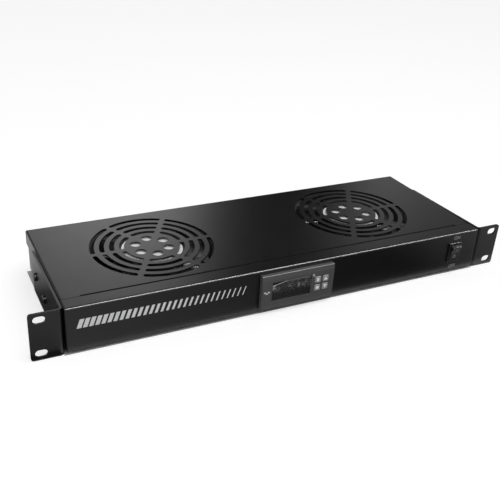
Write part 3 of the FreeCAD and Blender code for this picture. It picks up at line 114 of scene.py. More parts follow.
ROCKER_SIGN_DZ = 4.1 * MM    # from the rocker's middle to each of its signs
ROCKER_RING_RADIUS = 1.45 * MM
ROCKER_RING_STROKE = 0.55 * MM
ROCKER_BAR_SIZE = (0.6 * MM, 2.6 * MM)
ROCKER_BAR_CORNER = 0.25 * MM

# ON above the switch and OFF below it
SWITCH_TEXT_DX = 1.6 * MM    # from the rocker's middle
SWITCH_TEXT_HEIGHT = 3.9 * MM
SWITCH_TEXT_STRETCH = 0.92
SWITCH_TEXT_WEIGHT = 0.012   # how far the letters are thickened, at a letter size of 1
ON_GAP = 4.65 * MM           # from the switch's upper edge to the middle of ON
OFF_GAP = 6.35 * MM          # from its lower edge to the middle of OFF
SWITCH_INK_SHARE = 0.6       # how light its print is beside the panel's

# Scale printed round each fan's label
TICK_COUNT = 60
TICK_INSET = 3.2 * MM
TICK_SIZE = (2.2 * MM, 0.35 * MM)
TICK_THICKNESS = 0.04 * MM

# Studio: places and sizes in metres
UPRIGHT = (math.pi / 2, 0, 0)
FLAT = (0, 0, 0)
LEANING = (math.radians(-30), 0, 0)
FLOOR_SIZE = (6.0, 6.0)
FLOOR_PAINT = 0.5
FLOOR_GLOW = 0.6
PAINTED_SHADOW_MARGIN = 2 * MM   # the painted shadow under the tray reaches past its sides by this
CARD_Z = FLOOR_Z + 1 * MM    # cards that lie on the floor

# Lamps: name, place, what it points at, size
LAMPS = (
    ("overhead", (0.2, -0.3, 1.4), (0.0, 0.05, 0.0), (1.2, 0.5)),
    ("kicker", (-0.9, -0.15, 0.5), (-0.2, 0.07, 0.0), (0.2, 0.2)),
)

# Tones of the cards: places along an axis, in metres, and the brightness there
BLACK = ((-1, 0), (1, 0))
REAR_TONES = (
    (-0.9, 0.0), (-0.15, 0.35), (0.1, 1.4), (0.47, 1.7), (0.62, 0.0), (1.0, 0.0), (1.1, 0.1),
    (1.25, 0.85), (1.38, 0.6), (1.5, 0.35), (1.8, 0.3), (2.4, 0.1))
FLOOR_TONES = (
    (-0.5, 0.3), (-0.2, 0.55), (0.06, 0.05), (0.16, 0.02), (0.26, 0.4), (0.42, 0.9), (0.8, 0.5))
LEFT_TONES = ((-0.04, 0.03), (0.1, 0.06), (0.17, 0.7), (0.36, 1.0))
TOP_TONES = ((-0.5, 130.0), (1.7, 130.0))

# Cards that only glossy surfaces see: name, place, size, turn, axis of the tones, tones
CARDS = (
    ("rear_card", (0.75, 1.5, 0.55), (3.4, 1.1), UPRIGHT, "X", REAR_TONES),
    ("rear_flag", (0.75, 1.5, 1.8), (3.4, 1.4), UPRIGHT, "X", BLACK),
    ("ceiling_flag", (0.6, 0.3, 2.5), (4.0, 2.6), FLAT, "X", BLACK),
    ("floor_card", (0.1, -0.2, CARD_Z), (1.4, 0.38), FLAT, "X", FLOOR_TONES),
    ("left_card", (-0.265, 0.16, CARD_Z), (0.1, 0.4), FLAT, "Y", LEFT_TONES),
    ("top_card", (0.6, -0.7, 1.21), (2.2, 0.2), LEANING, "X", TOP_TONES),
)


# ---------------------------------------------------------------- settings

class CoatSettings(bpy.types.PropertyGroup):
    """The black powder coat on the tray, the cover and the ears."""

    colour: FloatVectorProperty(
        name="Colour", description="Colour of the powder coat",
        subtype="COLOR", min=0, max=1, default=(0.0036, 0.0036, 0.0037))
    roughness: FloatProperty(
        name="Roughness", description="Roughness of the coat's surface",
        subtype="FACTOR", min=0, max=1, default=0.3)
    grain: FloatProperty(
        name="Grain", description="Size of the coat's fine texture",
        unit="LENGTH", min=0.05 * MM, max=2 * MM, default=0.9 * MM)
    relief: FloatProperty(
        name="Relief", description="Height of the coat's fine texture",
        unit="LENGTH", min=0, max=0.1 * MM, default=0.02 * MM)


class PrintSettings(bpy.types.PropertyGroup):
    """The light-grey print on the front panel."""

    colour: FloatVectorProperty(
        name="Ink", description="Colour of the printed marks",
        subtype="COLOR", min=0, max=1, default=(0.42, 0.42, 0.42))
    thickness: FloatProperty(
        name="Ink thickness", description="How far the print stands on the panel",
        unit="LENGTH", min=0.01 * MM, max=0.2 * MM, default=0.04 * MM)
    bar_count: IntProperty(
        name="Bars", description="Number of slanted bars in the airflow print",
        min=2, max=60, default=30)
    bar_pitch: FloatProperty(
        name="Bar pitch", description="Distance from one bar to the next",
        unit="LENGTH", min=1 * MM, max=20 * MM, default=5.1 * MM)
    bar_height: FloatProperty(
        name="Bar height", description="Height of the airflow print",
        unit="LENGTH", min=1 * MM, max=30 * MM, default=8.4 * MM)
    widest: FloatProperty(
        name="Widest bar", description="Width of the first bar",
        unit="LENGTH", min=0.2 * MM, max=10 * MM, default=3.9 * MM)
    narrowest: FloatProperty(
        name="Narrowest bar", description="Width of the last bar",
        unit="LENGTH", min=0.2 * MM, max=10 * MM, default=0.9 * MM)
    slant: FloatProperty(
        name="Slant", description="Lean of the bars from upright",
        subtype="ANGLE", min=-1, max=1, default=math.radians(20))


class WindowSettings(bpy.types.PropertyGroup):
    """The display window and the film that protects it."""

    # How strongly the film's specks and its painted glare show
    haze_and_glare: FloatProperty(
        name="Film haze", description="How much the film's dull patches hide",
        subtype="FACTOR", min=0, max=1, default=0.45)
    wrinkle: FloatProperty(
        name="Wrinkle", description="Height of the film's wrinkles",
        unit="LENGTH", min=0, max=1 * MM, default=0.16 * MM)
    peel: FloatProperty(
        name="Peel", description="How far the film's edge has come away at the window's corner",
        unit="LENGTH", min=0, max=10 * MM, default=2.8 * MM)


class PlasticSettings(bpy.types.PropertyGroup):
    """The moulded pieces that can be seen."""

    bezel: FloatVectorProperty(
        name="Bezel", description="Colour of the thermostat's bezel",
        subtype="COLOR", min=0, max=1, default=(0.075, 0.075, 0.077))
    buttons: FloatVectorProperty(
        name="Buttons", description="Colour of the thermostat's buttons",
        subtype="COLOR", min=0, max=1, default=(0.32, 0.32, 0.325))
    rotors: FloatVectorProperty(
        name="Rotors", description="Colour of the fans' rotors",
        subtype="COLOR", min=0, max=1, default=(0.013, 0.013, 0.014))
    switch: FloatVectorProperty(
        name="Switch", description="Colour of the mains switch",
        subtype="COLOR", min=0, max=1, default=(0.009, 0.009, 0.0095))
    inlet: FloatVectorProperty(
        name="Inlet", description="Colour of the mains inlet",
        subtype="COLOR", min=0, max=1, default=(0.012, 0.012, 0.0125))


class StudioSettings(bpy.types.PropertyGroup):
    """Camera, lamps and light from all round."""

    lens: FloatProperty(
        name="Lens", description="Focal length of the camera, in millimetres",
        min=10, max=300, default=53.354)
    shift: FloatProperty(
        name="Shift", description="Sideways shift of the camera", min=-1, max=1, default=0.05)
    camera_place: FloatVectorProperty(
        name="Camera place", description="Where the camera stands",
        unit="LENGTH", default=(-0.31885, -0.50092, 0.34396))
    camera_turn: FloatVectorProperty(
        name="Camera turn", description="How the camera is turned", unit="ROTATION",
        default=(math.radians(62.0807), math.radians(-2.5891), math.radians(-24.8876)))
    ambient: FloatProperty(
        name="Ambient", description="Strength of the light from all round",
        min=0, max=2, default=0.6)
    overhead_power: FloatProperty(
        name="Overhead", description="Power of the soft lamp above, in watts",
        min=0, max=200, default=6.0)
    kicker_power: FloatProperty(
        name="Kicker", description="Power of the small lamp at the left, in watts",
        min=0, max=200, default=1.0)


class FanTraySettings(bpy.types.PropertyGroup):
    """All the sizes and colours that can be changed."""

    coat: PointerProperty(type=CoatSettings)
    ink: PointerProperty(type=PrintSettings)
    window: PointerProperty(type=WindowSettings)
    plastic: PointerProperty(type=PlasticSettings)
    studio: PointerProperty(type=StudioSettings)


# ---------------------------------------------------------------- node trees

class Value:
    """A socket in a node tree. Arithmetic on it adds Math nodes to the tree."""

    def __init__(self, graph, socket):
        self.graph = graph
        self.socket = socket

    def __add__(self, other):
        return self.graph.math("ADD", self, other)

    def __sub__(self, other):
        return self.graph.math("SUBTRACT", self, other)

    def __rsub__(self, other):
        return self.graph.math("SUBTRACT", other, self)

    def __mul__(self, other):
        return self.graph.math("MULTIPLY", self, other)

    def __truediv__(self, other):
        return self.graph.math("DIVIDE", self, other)

    def __gt__(self, other):
        return self.graph.math("GREATER_THAN", self, other)

    def __lt__(self, other):
        return self.graph.math("LESS_THAN", self, other)

    __radd__ = __add__
    __rmul__ = __mul__


class Graph:
    """A node tree that is written one node at a time."""

    def __init__(self, tree):
        self.tree = tree
        tree.nodes.clear()

    def node(self, kind, settings=None, inputs=None, output=0):
        """Adds a node, sets it up, fills or links its sockets and returns one of its outputs."""
        made = self.tree.nodes.new(kind)
        for name, value in (settings or {}).items():
            if name == "stops":
                set_stops(made.color_ramp, value)
            else:
                setattr(made, name, value)
        for name, value in (inputs or {}).items():
            if isinstance(value, Value):
                self.tree.links.new(value.socket, made.inputs[name])
            else:
                made.inputs[name].default_value = value
        return Value(self, made.outputs[output] if len(made.outputs) else None)

    def math(self, operation, first, second=0.0):
        """The result of one Math node."""
        return self.node("ShaderNodeMath", {"operation": operation}, {0: first, 1: second})

    def mix(self, share, first, second):
        """A colour that goes from first to second."""
        return self.node(
            "ShaderNodeMix", {"data_type": "RGBA"}, {0: share, 6: first, 7: second}, 2)

    def place(self):
        """The piece's own coordinates."""
        return self.node("ShaderNodeTexCoord", output="Object")

    def stretched(self, scale, turn=(0, 0, 0), centre=(0, 0, 0)):
        """The piece's own coordinates, moved to a centre, turned and stretched."""
        moved = self.node(
            "ShaderNodeVectorMath", {"operation": "SUBTRACT"}, {0: self.place(), 1: centre})
        return self.node(
            "ShaderNodeMapping", inputs={"Vector": moved, "Rotation": turn, "Scale": scale})

    def noise(self, size, detail=2.0, where=None):
        """Noise from 0 to 1 whose patches are about one size across."""
        return self.node(
            "ShaderNodeTexNoise",
            inputs={"Vector": where or self.place(), "Scale": 1 / size, "Detail": detail})

    def ramp(self, value, stops):
        """A number that follows value through the stops."""
        colours = [(at, (level, level, level, 1)) for at, level in stops]
        return self.node("ShaderNodeValToRGB", {"stops": colours}, {0: value})

    def part(self, axis):
        """One of the piece's own coordinates, X, Y or Z."""
        return self.node(
            "ShaderNodeSeparateXYZ", inputs={0: self.place()}, output="XYZ".index(axis))

    def bands(self, direction, scale, distortion=0.0):
        """Wavy bands from 0 to 1 across a direction."""
        return self.node(
            "ShaderNodeTexWave", {"wave_type": "BANDS", "bands_direction": direction},
            {"Vector": self.place(), "Scale": scale, "Distortion": distortion}, 1)

    def bump(self, height, depth):
        """A normal for a relief that is depth deep where height goes from 0 to 1."""
        return self.node("ShaderNodeBump", inputs={"Height": height, "Distance": depth})


def set_stops(ramp, stops):
    """Gives a colour ramp its stops."""
    while len(ramp.elements) < len(stops):
        ramp.elements.new(1.0)
    for element, (at, colour) in zip(ramp.elements, stops):
        element.position = at
        element.color = colour


def opaque(colour, share=1.0):
    """A colour as a socket takes it, made darker or lighter by a share."""
    return (*(channel * share for channel in colour), 1.0)


def material(name, write):
    """A material whose surface is what write returns for its graph."""
    made = bpy.data.materials.new(name)
    made.use_nodes = True
    graph = Graph(made.node_tree)
    graph.node("ShaderNodeOutputMaterial", inputs={"Surface": write(graph)})
    return made


def surface(graph, **sockets):
    """The Principled shader with sockets named in lower case, as in base_color."""
    inputs = {name.replace("_", " ").title(): value for name, value in sockets.items()}
    return graph.node("ShaderNodeBsdfPrincipled", inputs=inputs)


# ---------------------------------------------------------------- finishes

def powder_coat(name, colour, roughness, grain, relief):
    """Fine-textured paint with faint broad unevenness."""
    def write(graph):
        unevenness = graph.noise(14 * MM, 3.0)
        speckle = graph.noise(grain, 2.0)
        shade = graph.mix(
            graph.ramp(speckle, [(0.35, 0), (0.7, 1)]), opaque(colour, 0.8), opaque(colour, 1.35))
        return surface(
            graph, base_color=shade, roughness=roughness - 0.03 + 0.06 * unevenness,
            normal=graph.bump(speckle + 0.5 * unevenness, relief))
    return material(name, write)


def moulded(name, colour, roughness, grain=0.25 * MM):
    """Plastic from a textured mould, with faint flow marks."""
    def write(graph):
        flow = graph.noise(9 * MM, 3.0, graph.stretched((1, 1, 0.4)))
        texture = graph.noise(grain, 1.5)
        shade = graph.mix(flow, opaque(colour, 0.86), opaque(colour, 1.14))
        return surface(
            graph, base_color=shade, roughness=roughness - 0.04 + 0.08 * texture,
            normal=graph.bump(texture, 0.004 * MM))
    return material(name, write)


def cast_alloy(name, colour):
    """Painted die casting: a coarser skin than the sheet's."""
    def write(graph):
        skin = graph.noise(1.1 * MM, 4.0)
        pits = graph.ramp(graph.noise(0.4 * MM, 1.0), [(0.3, 0), (0.45, 1)])
        shade = graph.mix(skin, opaque(colour, 0.8), opaque(colour, 1.25))
        return surface(
            graph, base_color=shade, roughness=0.58 + 0.12 * skin,
            normal=graph.bump(skin + 0.3 * pits, 0.03 * MM))
    return material(name, write)


def black_oxide(name, colour):
    """Dark glossy screw finish with faint turning marks."""
    def write(graph):
        marks = graph.noise(0.5 * MM, 2.0)
        shade = graph.mix(marks, opaque(colour, 0.7), opaque(colour, 1.3))
        return surface(
            graph, base_color=shade, roughness=0.14 + 0.08 * marks,
            normal=graph.bump(marks, 0.003 * MM))
    return material(name, write)


def bare_metal(name, colour, roughness, grain, stretch=(1, 1, 1)):
    """Plated or drawn metal; stretch pulls its grain along an axis."""
    def write(graph):
        lines = graph.noise(grain, 3.0, graph.stretched(stretch))
        clouds = graph.noise(5 * MM, 2.0)
        shade = graph.mix(clouds, opaque(colour, 0.85), opaque(colour, 1.1))
        return surface(
            graph, base_color=shade, metallic=1.0, roughness=roughness - 0.06 + 0.12 * lines,
            normal=graph.bump(lines, 0.002 * MM))
    return material(name, write)


def sintered(name, colour):
    """Porous bronze: oil-dark pores in dull metal."""
    def write(graph):
        cells = graph.node(
            "ShaderNodeTexVoronoi", inputs={"Vector": graph.place(), "Scale": 1 / (0.22 * MM)})
        solid = graph.ramp(cells, [(0.1, 0), (0.4, 1)])
        return surface(
            graph, base_color=graph.mix(solid, opaque(colour, 0.3), opaque(colour)), metallic=1.0,
            roughness=0.55 - 0.15 * solid, normal=graph.bump(solid, 0.01 * MM))
    return material(name, write)


def layered(name, colour, pitch, relief, metallic, roughness):
    """Thin layers stacked up Z, as stampings or turns of wire."""
    def write(graph):
        bands = graph.bands("Z", math.tau / (20 * pitch), 0.4)
        shade = graph.mix(bands, opaque(colour, 0.45), opaque(colour))
        return surface(
            graph, base_color=shade, metallic=metallic, roughness=roughness + 0.1 * bands,
            normal=graph.bump(bands, relief))
    return material(name, write)


def foil(name, colour):
    """Bright label foil, rolled along X."""
    def write(graph):
        rolled = graph.noise(0.3 * MM, 2.0, graph.stretched((0.08, 1, 1)))
        crease = graph.noise(6 * MM, 2.0)
        shade = graph.mix(rolled, opaque(colour, 0.94), opaque(colour, 1.04))
        return surface(
            graph, base_color=shade, roughness=0.3 + 0.15 * rolled,
            normal=graph.bump(crease + 0.05 * rolled, 0.02 * MM))
    return material(name, write)


def window_glass(name, colour):
    """Dark polished window with the faintest smears."""
    def write(graph):
        smear = graph.noise(5 * MM, 4.0, graph.stretched((1, 1, 2.4), (0, 0.5, 0)))
        shade = graph.mix(smear, opaque(colour, 0.8), opaque(colour, 1.6))
        return surface(graph, base_color=shade, roughness=0.05 + 0.1 * smear)
    return material(name, write)


def circuit_board(name, colour):
    """Green board with copper tracks under its lacquer."""
    def write(graph):
        lines = graph.node(
            "ShaderNodeTexBrick",
            inputs={"Vector": graph.place(), "Scale": 1 / (9 * MM), "Mortar Size": 0.03,
                    "Mortar Smooth": 0.2}, output=1)
        shade = graph.mix(lines, opaque(colour), opaque(colour, 2.2))
        return surface(
            graph, base_color=shade, roughness=0.3 + 0.1 * graph.noise(3 * MM),
            normal=graph.bump(lines, 0.03 * MM))
    return material(name, write)


def jacket(name, colour, stripe=None):
    """Soft lead insulation; the earth lead has a second colour round it."""
    def write(graph):
        rub = graph.noise(2.5 * MM, 3.0)
        shade = graph.mix(rub, opaque(colour, 0.88), opaque(colour, 1.1))
        if stripe:
            shade = graph.mix(graph.bands("DIAGONAL", 45.0) > 0.5, shade, opaque(stripe))
        return surface(
            graph, base_color=shade, roughness=0.36 + 0.12 * rub,
            normal=graph.bump(graph.noise(0.8 * MM), 0.01 * MM))
    return material(name, write)


def ink(name, colour):
    """Screen-printed ink: flat, with a slightly uneven edge to its cover."""
    def write(graph):
        cover = graph.noise(0.35 * MM, 2.0)
        shade = graph.mix(cover, opaque(colour, 0.9), opaque(colour, 1.08))
        return surface(
            graph, base_color=shade, roughness=0.5 + 0.1 * cover,
            normal=graph.bump(cover, 0.003 * MM))
    return material(name, write)


def wrinkled_film(name, haze_and_glare, low, high):
    """Clear film over a window, whitish in specks, with painted glare over its upper part, in one
    diagonal streak and at its lifted corner, and a painted highlight along its edge.
    """
    width = high.x - low.x
    height = high.z - low.z
    clear = 0.012
    # Size of the streak of painted glare
    glare_streak_width = 1.2 * MM
    glare_streak_length = 3.6 * MM

    def write(graph):
        across = (graph.part("X") - low.x) / width
        up = (graph.part("Z") - low.z) / height
        # Painted reflection: the film is whitened over its upper part, and its specks show only
        # there
        upper = graph.ramp(up, [(0.35, 0), (0.6, 1), (0.95, 0.5)])
        specks = graph.ramp(graph.noise(0.45 * MM, 1.0), [(0.58, 0), (0.64, 1)])
        patches = graph.ramp(graph.noise(5 * MM, 1.0), [(0.4, 0.15), (0.6, 1)])
        # Painted glare: a whitened diagonal streak right of the middle, broken up by noise
        centre = (low.x + 0.68 * width, 0, low.z + 0.62 * height)
        stroke = graph.stretched(
            (1 / glare_streak_width, 0, 1 / glare_streak_length), (0, math.radians(40), 0), centre)
        reach = graph.node("ShaderNodeVectorMath", {"operation": "LENGTH"}, {0: stroke}, 1)
        streaks = graph.ramp(graph.noise(0.7 * MM, 2.0), [(0.4, 0.15), (0.58, 1)])
        painted_glare_streak = graph.ramp(reach, [(0.2, 1), (1.0, 0)]) * streaks
        # Painted highlight: the film is whitened at its lifted upper-left corner
        left_edge = graph.ramp(across, [(0.04, 0.5), (0.1, 0)])
        corner = left_edge * graph.ramp(up, [(0.55, 0), (0.68, 1)])
        # Painted highlight along the film's upper edge, read from a vertex attribute that the
        # film's mesh carries
        rim = graph.node("ShaderNodeAttribute", {"attribute_name": "rim"}, output="Fac")
        # dull: how whitish the film is, from its specks and from the painted glare over its upper
        # part, in the streak and at the corner
        dull = (0.04 * upper + 0.8 * specks * patches * upper + 0.9 * painted_glare_streak + corner) * haze_and_glare
        return surface(
            graph, base_color=(0.95, 0.95, 0.95, 1), roughness=0.22 + 0.3 * specks,
            alpha=graph.math("MINIMUM", clear + dull + 0.9 * rim, 1.0),
            normal=graph.bump(specks, 0.02 * MM))
    return material(name, write)


# ---------------------------------------------------------------- making pieces

def dress(slot, finish):
    """Gives one finish to every node of a material slot."""
    for name, node_slot in NODE_SLOTS.items():
        if node_slot == slot:
            for place in frame["nodes"][name].material_slots:
                place.material = finish


def add_piece(name, mesh, finish, body):
    """Puts a finished mesh in the scene as a piece that rides on a body."""
    mesh.materials.clear()
    mesh.materials.append(finish)
    made = bpy.data.objects.new(name, mesh)
    bpy.context.scene.collection.objects.link(made)
    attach(made, body)
    return made


def arc(centre, radius, start, sweep, steps=6):
    """Points on an arc in the X-Z plane, angles in quarter turns."""
    angles = [(start + sweep * step / steps) * math.pi / 2 for step in range(steps + 1)]
    return [(centre[0] + radius * math.cos(a), centre[1] + radius * math.sin(a)) for a in angles]


def rounded_box(centre, size, radius):
    """Outline of a rectangle with round corners."""
    dx = size[0] / 2 - radius
    dz = size[1] / 2 - radius
    corners = ((dx, dz), (-dx, dz), (-dx, -dz), (dx, -dz))    # one for each quarter turn
    outline = []
    for quarter, (x, z) in enumerate(corners):
        outline += arc((centre[0] + x, centre[1] + z), radius, quarter, 1)
    return outline


def triangle(centre, width, height):
    """Outline of an arrowhead; a negative height points it down."""
    x, z = centre
    foot = z - height / 2
    points = [(x + width / 2, foot), (x, z + height / 2), (x - width / 2, foot)]
    return points if height > 0 else points[::-1]


def plates(name, outlines, front, thickness):
    """A mesh of flat closed plates that stand on a plane, at Y front, that faces -Y."""
    made = bmesh.new()
    for outline in outlines:
        foot, top = ([made.verts.new((x, y, z)) for x, z in outline]
                     for y in (front, front - thickness))
        made.faces.new(top)
        made.faces.new(foot[::-1])
        for index in range(len(outline)):
            made.faces.new((top[index - 1], foot[index - 1], foot[index], top[index]))
    bmesh.ops.recalc_face_normals(made, faces=made.faces)
    mesh = bpy.data.meshes.new(name)
    made.to_mesh(mesh)
    made.free()
    return mesh


def ribbon(points, width):
    """Outline of a stroke of even width along points in the X-Z plane."""
    left = []
    right = []
    for index, point in enumerate(points):
        ahead = points[min(index + 1, len(points) - 1)]
        behind = points[max(index - 1, 0)]
        along = Vector((ahead[0] - behind[0], ahead[1] - behind[1])).normalized() * width / 2
        left.append((point[0] - along.y, point[1] + along.x))
        right.append((point[0] + along.y, point[1] - along.x))
    return right + left[::-1]


def evaluated_mesh(holder):
    """The plain mesh of an object as it is finally drawn."""
    bpy.context.view_layer.update()
    depsgraph = bpy.context.evaluated_depsgraph_get()
    return bpy.data.meshes.new_from_object(holder.evaluated_get(depsgraph))


def lettering(name, text, centre, front, thickness):
    """Printed capitals, centred on a point of a plane, at Y front, that faces -Y."""
    curve = bpy.data.curves.new(name, "FONT")
    curve.body = text
    curve.align_x = "CENTER"
    curve.align_y = "CENTER"
    curve.extrude = 0.5        # the letters reach from -0.5 to 0.5
    curve.offset = SWITCH_TEXT_WEIGHT
    source = bpy.data.objects.new(name, curve)
    bpy.context.scene.collection.objects.link(source)
    mesh = evaluated_mesh(source)
    bpy.data.objects.remove(source)
    top = max(v.co.y for v in mesh.vertices)
    foot = min(v.co.y for v in mesh.vertices)
    middle = (top + foot) / 2
    scale = SWITCH_TEXT_HEIGHT / (top - foot)
    for vertex in mesh.vertices:
        x, up, out = vertex.co
        vertex.co = (centre[0] + x * scale * SWITCH_TEXT_STRETCH,
                     front - (out + 0.5) * thickness,
                     centre[1] + (up - middle) * scale)
    return mesh


def press_onto(mesh, node):
    """Moves a mesh drawn at Y 0 onto the face of a node that looks to -Y."""
    source = frame["nodes"][node].data
    tree = BVHTree.FromPolygons(
        [vertex.co for vertex in source.vertices], [face.vertices for face in source.polygons])
    for vertex in mesh.vertices:
        start = Vector((vertex.co.x, CAD_BOX[0].y - RAY_LEAD, vertex.co.z))
        hit = tree.ray_cast(start, Vector((0, 1, 0)))[0]
        if hit is None:
            raise RuntimeError(f"{mesh.name} reaches past the face of {node}")
        vertex.co.y += hit.y


def grow(name, tree, values):
    """The plain mesh that a Geometry Nodes tree makes with these named inputs."""
    holder = bpy.data.objects.new(name, bpy.data.meshes.new(name))
    bpy.context.scene.collection.objects.link(holder)
    modifier = holder.modifiers.new(name, "NODES")
    modifier.node_group = tree
    for socket in tree.interface.items_tree:
        if socket.in_out == "INPUT":
            modifier[socket.identifier] = values[socket.name]
    mesh = evaluated_mesh(holder)
    holder.modifiers.remove(modifier)
    bpy.data.objects.remove(holder)
    return mesh


def new_tree(name, inputs):
    """The graph of an empty Geometry Nodes tree with named inputs, and their values by name."""
    tree = bpy.data.node_groups.new(name, "GeometryNodeTree")
    for label, kind in inputs.items():
        tree.interface.new_socket(label, in_out="INPUT", socket_type=kind)
    tree.interface.new_socket("Geometry", in_out="OUTPUT", socket_type="NodeSocketGeometry")
    graph = Graph(tree)
    source = tree.nodes.new("NodeGroupInput")
    return graph, {label: Value(graph, source.outputs[label]) for label in inputs}


def end_tree(graph, geometry, finish):
    """Realizes the instances, gives them a material and ends the tree."""
    real = graph.node("GeometryNodeRealizeInstances", inputs={0: geometry})
    dressed = graph.node("GeometryNodeSetMaterial", inputs={"Geometry": real, "Material": finish})
    graph.node("NodeGroupOutput", inputs={0: dressed})
    return graph.tree


def airflow_tree(finish):
    """Slanted bars in a row, each a little narrower than the one before."""
    graph, value = new_tree("Airflow bars", {
        "Count": "NodeSocketInt", "Pitch": LENGTH, "Height": LENGTH, "Widest": LENGTH,
        "Narrowest": LENGTH, "Slant": LENGTH, "Thickness": LENGTH})
    step = graph.node("ShaderNodeCombineXYZ", inputs={0: value["Pitch"]})
    line = graph.node("GeometryNodeMeshLine", inputs={"Count": value["Count"], "Offset": step})
    along = graph.node("GeometryNodeInputIndex") / (value["Count"] - 1)
    width = value["Widest"] + (value["Narrowest"] - value["Widest"]) * along
    size = graph.node(
        "ShaderNodeCombineXYZ", inputs={0: width, 1: value["Thickness"], 2: value["Height"]})
    bar = graph.node("GeometryNodeMeshCube")
    bars = graph.node(
        "GeometryNodeInstanceOnPoints", inputs={"Points": line, "Instance": bar, "Scale": size})
    real = graph.node("GeometryNodeRealizeInstances", inputs={0: bars})
    height = graph.node(
        "ShaderNodeSeparateXYZ", inputs={0: graph.node("GeometryNodeInputPosition")}, output=2)
    lean = graph.node(
        "ShaderNodeCombineXYZ", inputs={0: height * graph.math("TANGENT", value["Slant"])})
    slanted = graph.node("GeometryNodeSetPosition", inputs={"Geometry": real, "Offset": lean})
    return end_tree(graph, slanted, finish)


def tick_tree(finish):
    """Short radial ticks spaced evenly round a circle that faces up."""
    graph, value = new_tree("Label ticks", {
        "Count": "NodeSocketInt", "Radius": LENGTH, "Tick Length": LENGTH, "Tick Width": LENGTH,
        "Thickness": LENGTH})
    circle = graph.node(
        "GeometryNodeMeshCircle", {"fill_type": "NONE"},
        {"Vertices": value["Count"], "Radius": value["Radius"]})
    turn = graph.node("GeometryNodeInputIndex") / value["Count"] * math.tau
    facing = graph.node("ShaderNodeCombineXYZ", inputs={2: turn})
    size = graph.node(
        "ShaderNodeCombineXYZ",
        inputs={0: value["Tick Length"], 1: value["Tick Width"], 2: value["Thickness"]})
    ticks = graph.node(
        "GeometryNodeInstanceOnPoints",
        inputs={"Points": circle, "Instance": graph.node("GeometryNodeMeshCube"),
                "Rotation": facing, "Scale": size})
    return end_tree(graph, ticks, finish)


# ---------------------------------------------------------------- operators

class FANTRAY_OT_sheet_metal(bpy.types.Operator):
    """Powder-coats the tray, the cover and the rack ears"""

    bl_idname = "fantray.sheet_metal"
    bl_label = "Sheet metal"

    def execute(self, context):
        coat = context.scene.fan_tray.coat
        values = (coat.colour, coat.roughness, coat.grain, coat.relief)
        dress("black_sheet", powder_coat("Black powder coat", *values))
        dress("ear_coat", powder_coat("Ear powder coat", *values))
        return {"FINISHED"}


class FANTRAY_OT_fasteners(bpy.types.Operator):
    """Gives the screws, nuts and spacers their finishes"""

    bl_idname = "fantray.fasteners"
    bl_label = "Fasteners"

    def execute(self, context):
        dress("black_screw", black_oxide("Black screws", (0.012, 0.012, 0.013)))
        dress("zinc", bare_metal("Zinc plate", RECORD_COLOURS["zinc"], 0.32, 0.6 * MM))
        return {"FINISHED"}


class FANTRAY_OT_fans(bpy.types.Operator):
    """Finishes the two fans and prints a plain scale on their labels"""

    bl_idname = "fantray.fans"
    bl_label = "Fans"

    def execute(self, context):
        rotors = context.scene.fan_tray.plastic.rotors
        dress("fan_casting", cast_alloy("Fan casting", (0.014, 0.014, 0.015)))
        dress("fan_plastic", moulded("Rotor plastic", rotors, 0.4))
        dress("steel", bare_metal(
            "Turned steel", RECORD_COLOURS["steel"], 0.25, 0.4 * MM, (1, 1, 0.1)))
        dress("sintered_bronze", sintered("Sintered bronze", RECORD_COLOURS["sintered_bronze"]))
        dress("lamination", layered(
            "Stacked laminations", RECORD_COLOURS["lamination"], 0.5 * MM, 0.05 * MM, 1.0, 0.4))
        dress("copper", layered(
            "Wound copper", RECORD_COLOURS["copper"], 0.3 * MM, 0.08 * MM, 1.0, 0.25))
        dress("foil", foil("Label foil", (0.92, 0.92, 0.92)))
        tree = tick_tree(ink("Label ink", (0.05, 0.05, 0.055)))
        for side in FAN_SIDES:
            name = f"{side}_label_ticks"
            low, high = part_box(f"{side}_hub_label")
            mesh = grow(name, tree, {
                "Count": TICK_COUNT, "Radius": (high.x - low.x) / 2 - TICK_INSET,
                "Tick Length": TICK_SIZE[0], "Tick Width": TICK_SIZE[1],
                "Thickness": 2 * TICK_THICKNESS})
            mesh.transform(Matrix.Translation(
                ((low.x + high.x) / 2, (low.y + high.y) / 2, high.z)))
            add_piece(name, mesh, mesh.materials[0], "tray")
        return {"FINISHED"}


class FANTRAY_OT_thermostat(bpy.types.Operator):
    """Finishes the thermostat's case, window and boards, and prints its bezel"""

    bl_idname = "fantray.thermostat"
    bl_label = "Thermostat"

    def execute(self, context):
        settings = context.scene.fan_tray
        bezel = settings.plastic.bezel
        dress("thermostat_plastic", moulded("Bezel plastic", bezel, 0.4, 0.3 * MM))
        dress("lens", window_glass("Display window", (0.0035, 0.0035, 0.004)))
        dress("circuit_board", circuit_board("Circuit board", RECORD_COLOURS["circuit_board"]))
        dress("component_case", moulded("Component cases", RECORD_COLOURS["component_case"], 0.4))
        dress("terminal_plastic", moulded(
            "Terminal block", RECORD_COLOURS["terminal_plastic"], 0.42))
        low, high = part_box("display_lens")
        white = ink("Bezel ink", (0.8, 0.8, 0.8))
        centre = (low.x + WAVE_DX, (low.z + high.z) / 2 + WAVE_DZ)
        corner = (high.x + DEGREE_DX, high.z)
        degree = ribbon(
            arc(corner, DEGREE_RADIUS, 0, RING_SWEEP, DEGREE_STEPS), DEGREE_STROKE)
        dash = rounded_box((corner[0] + DASH_DX, corner[1] + DASH_DZ), DASH_SIZE, DASH_CORNER)
        for name, outlines in (
                ("bezel_airflow_mark", [ribbon(self.wave(centre), WAVE_STROKE)]),
                ("bezel_degree_mark", [degree, dash])):
            mesh = plates(name, outlines, BEZEL_Y, settings.ink.thickness)
            add_piece(name, mesh, white, "tray")
        return {"FINISHED"}

    def wave(self, centre):
        """Points along the airflow sign."""
        shares = [step / WAVE_STEPS for step in range(WAVE_STEPS + 1)]
        return [(centre[0] + (share - 0.5) * WAVE_LENGTH,
                 centre[1] + WAVE_HEIGHT * math.sin(share * WAVE_TURNS * math.tau))
                for share in shares]


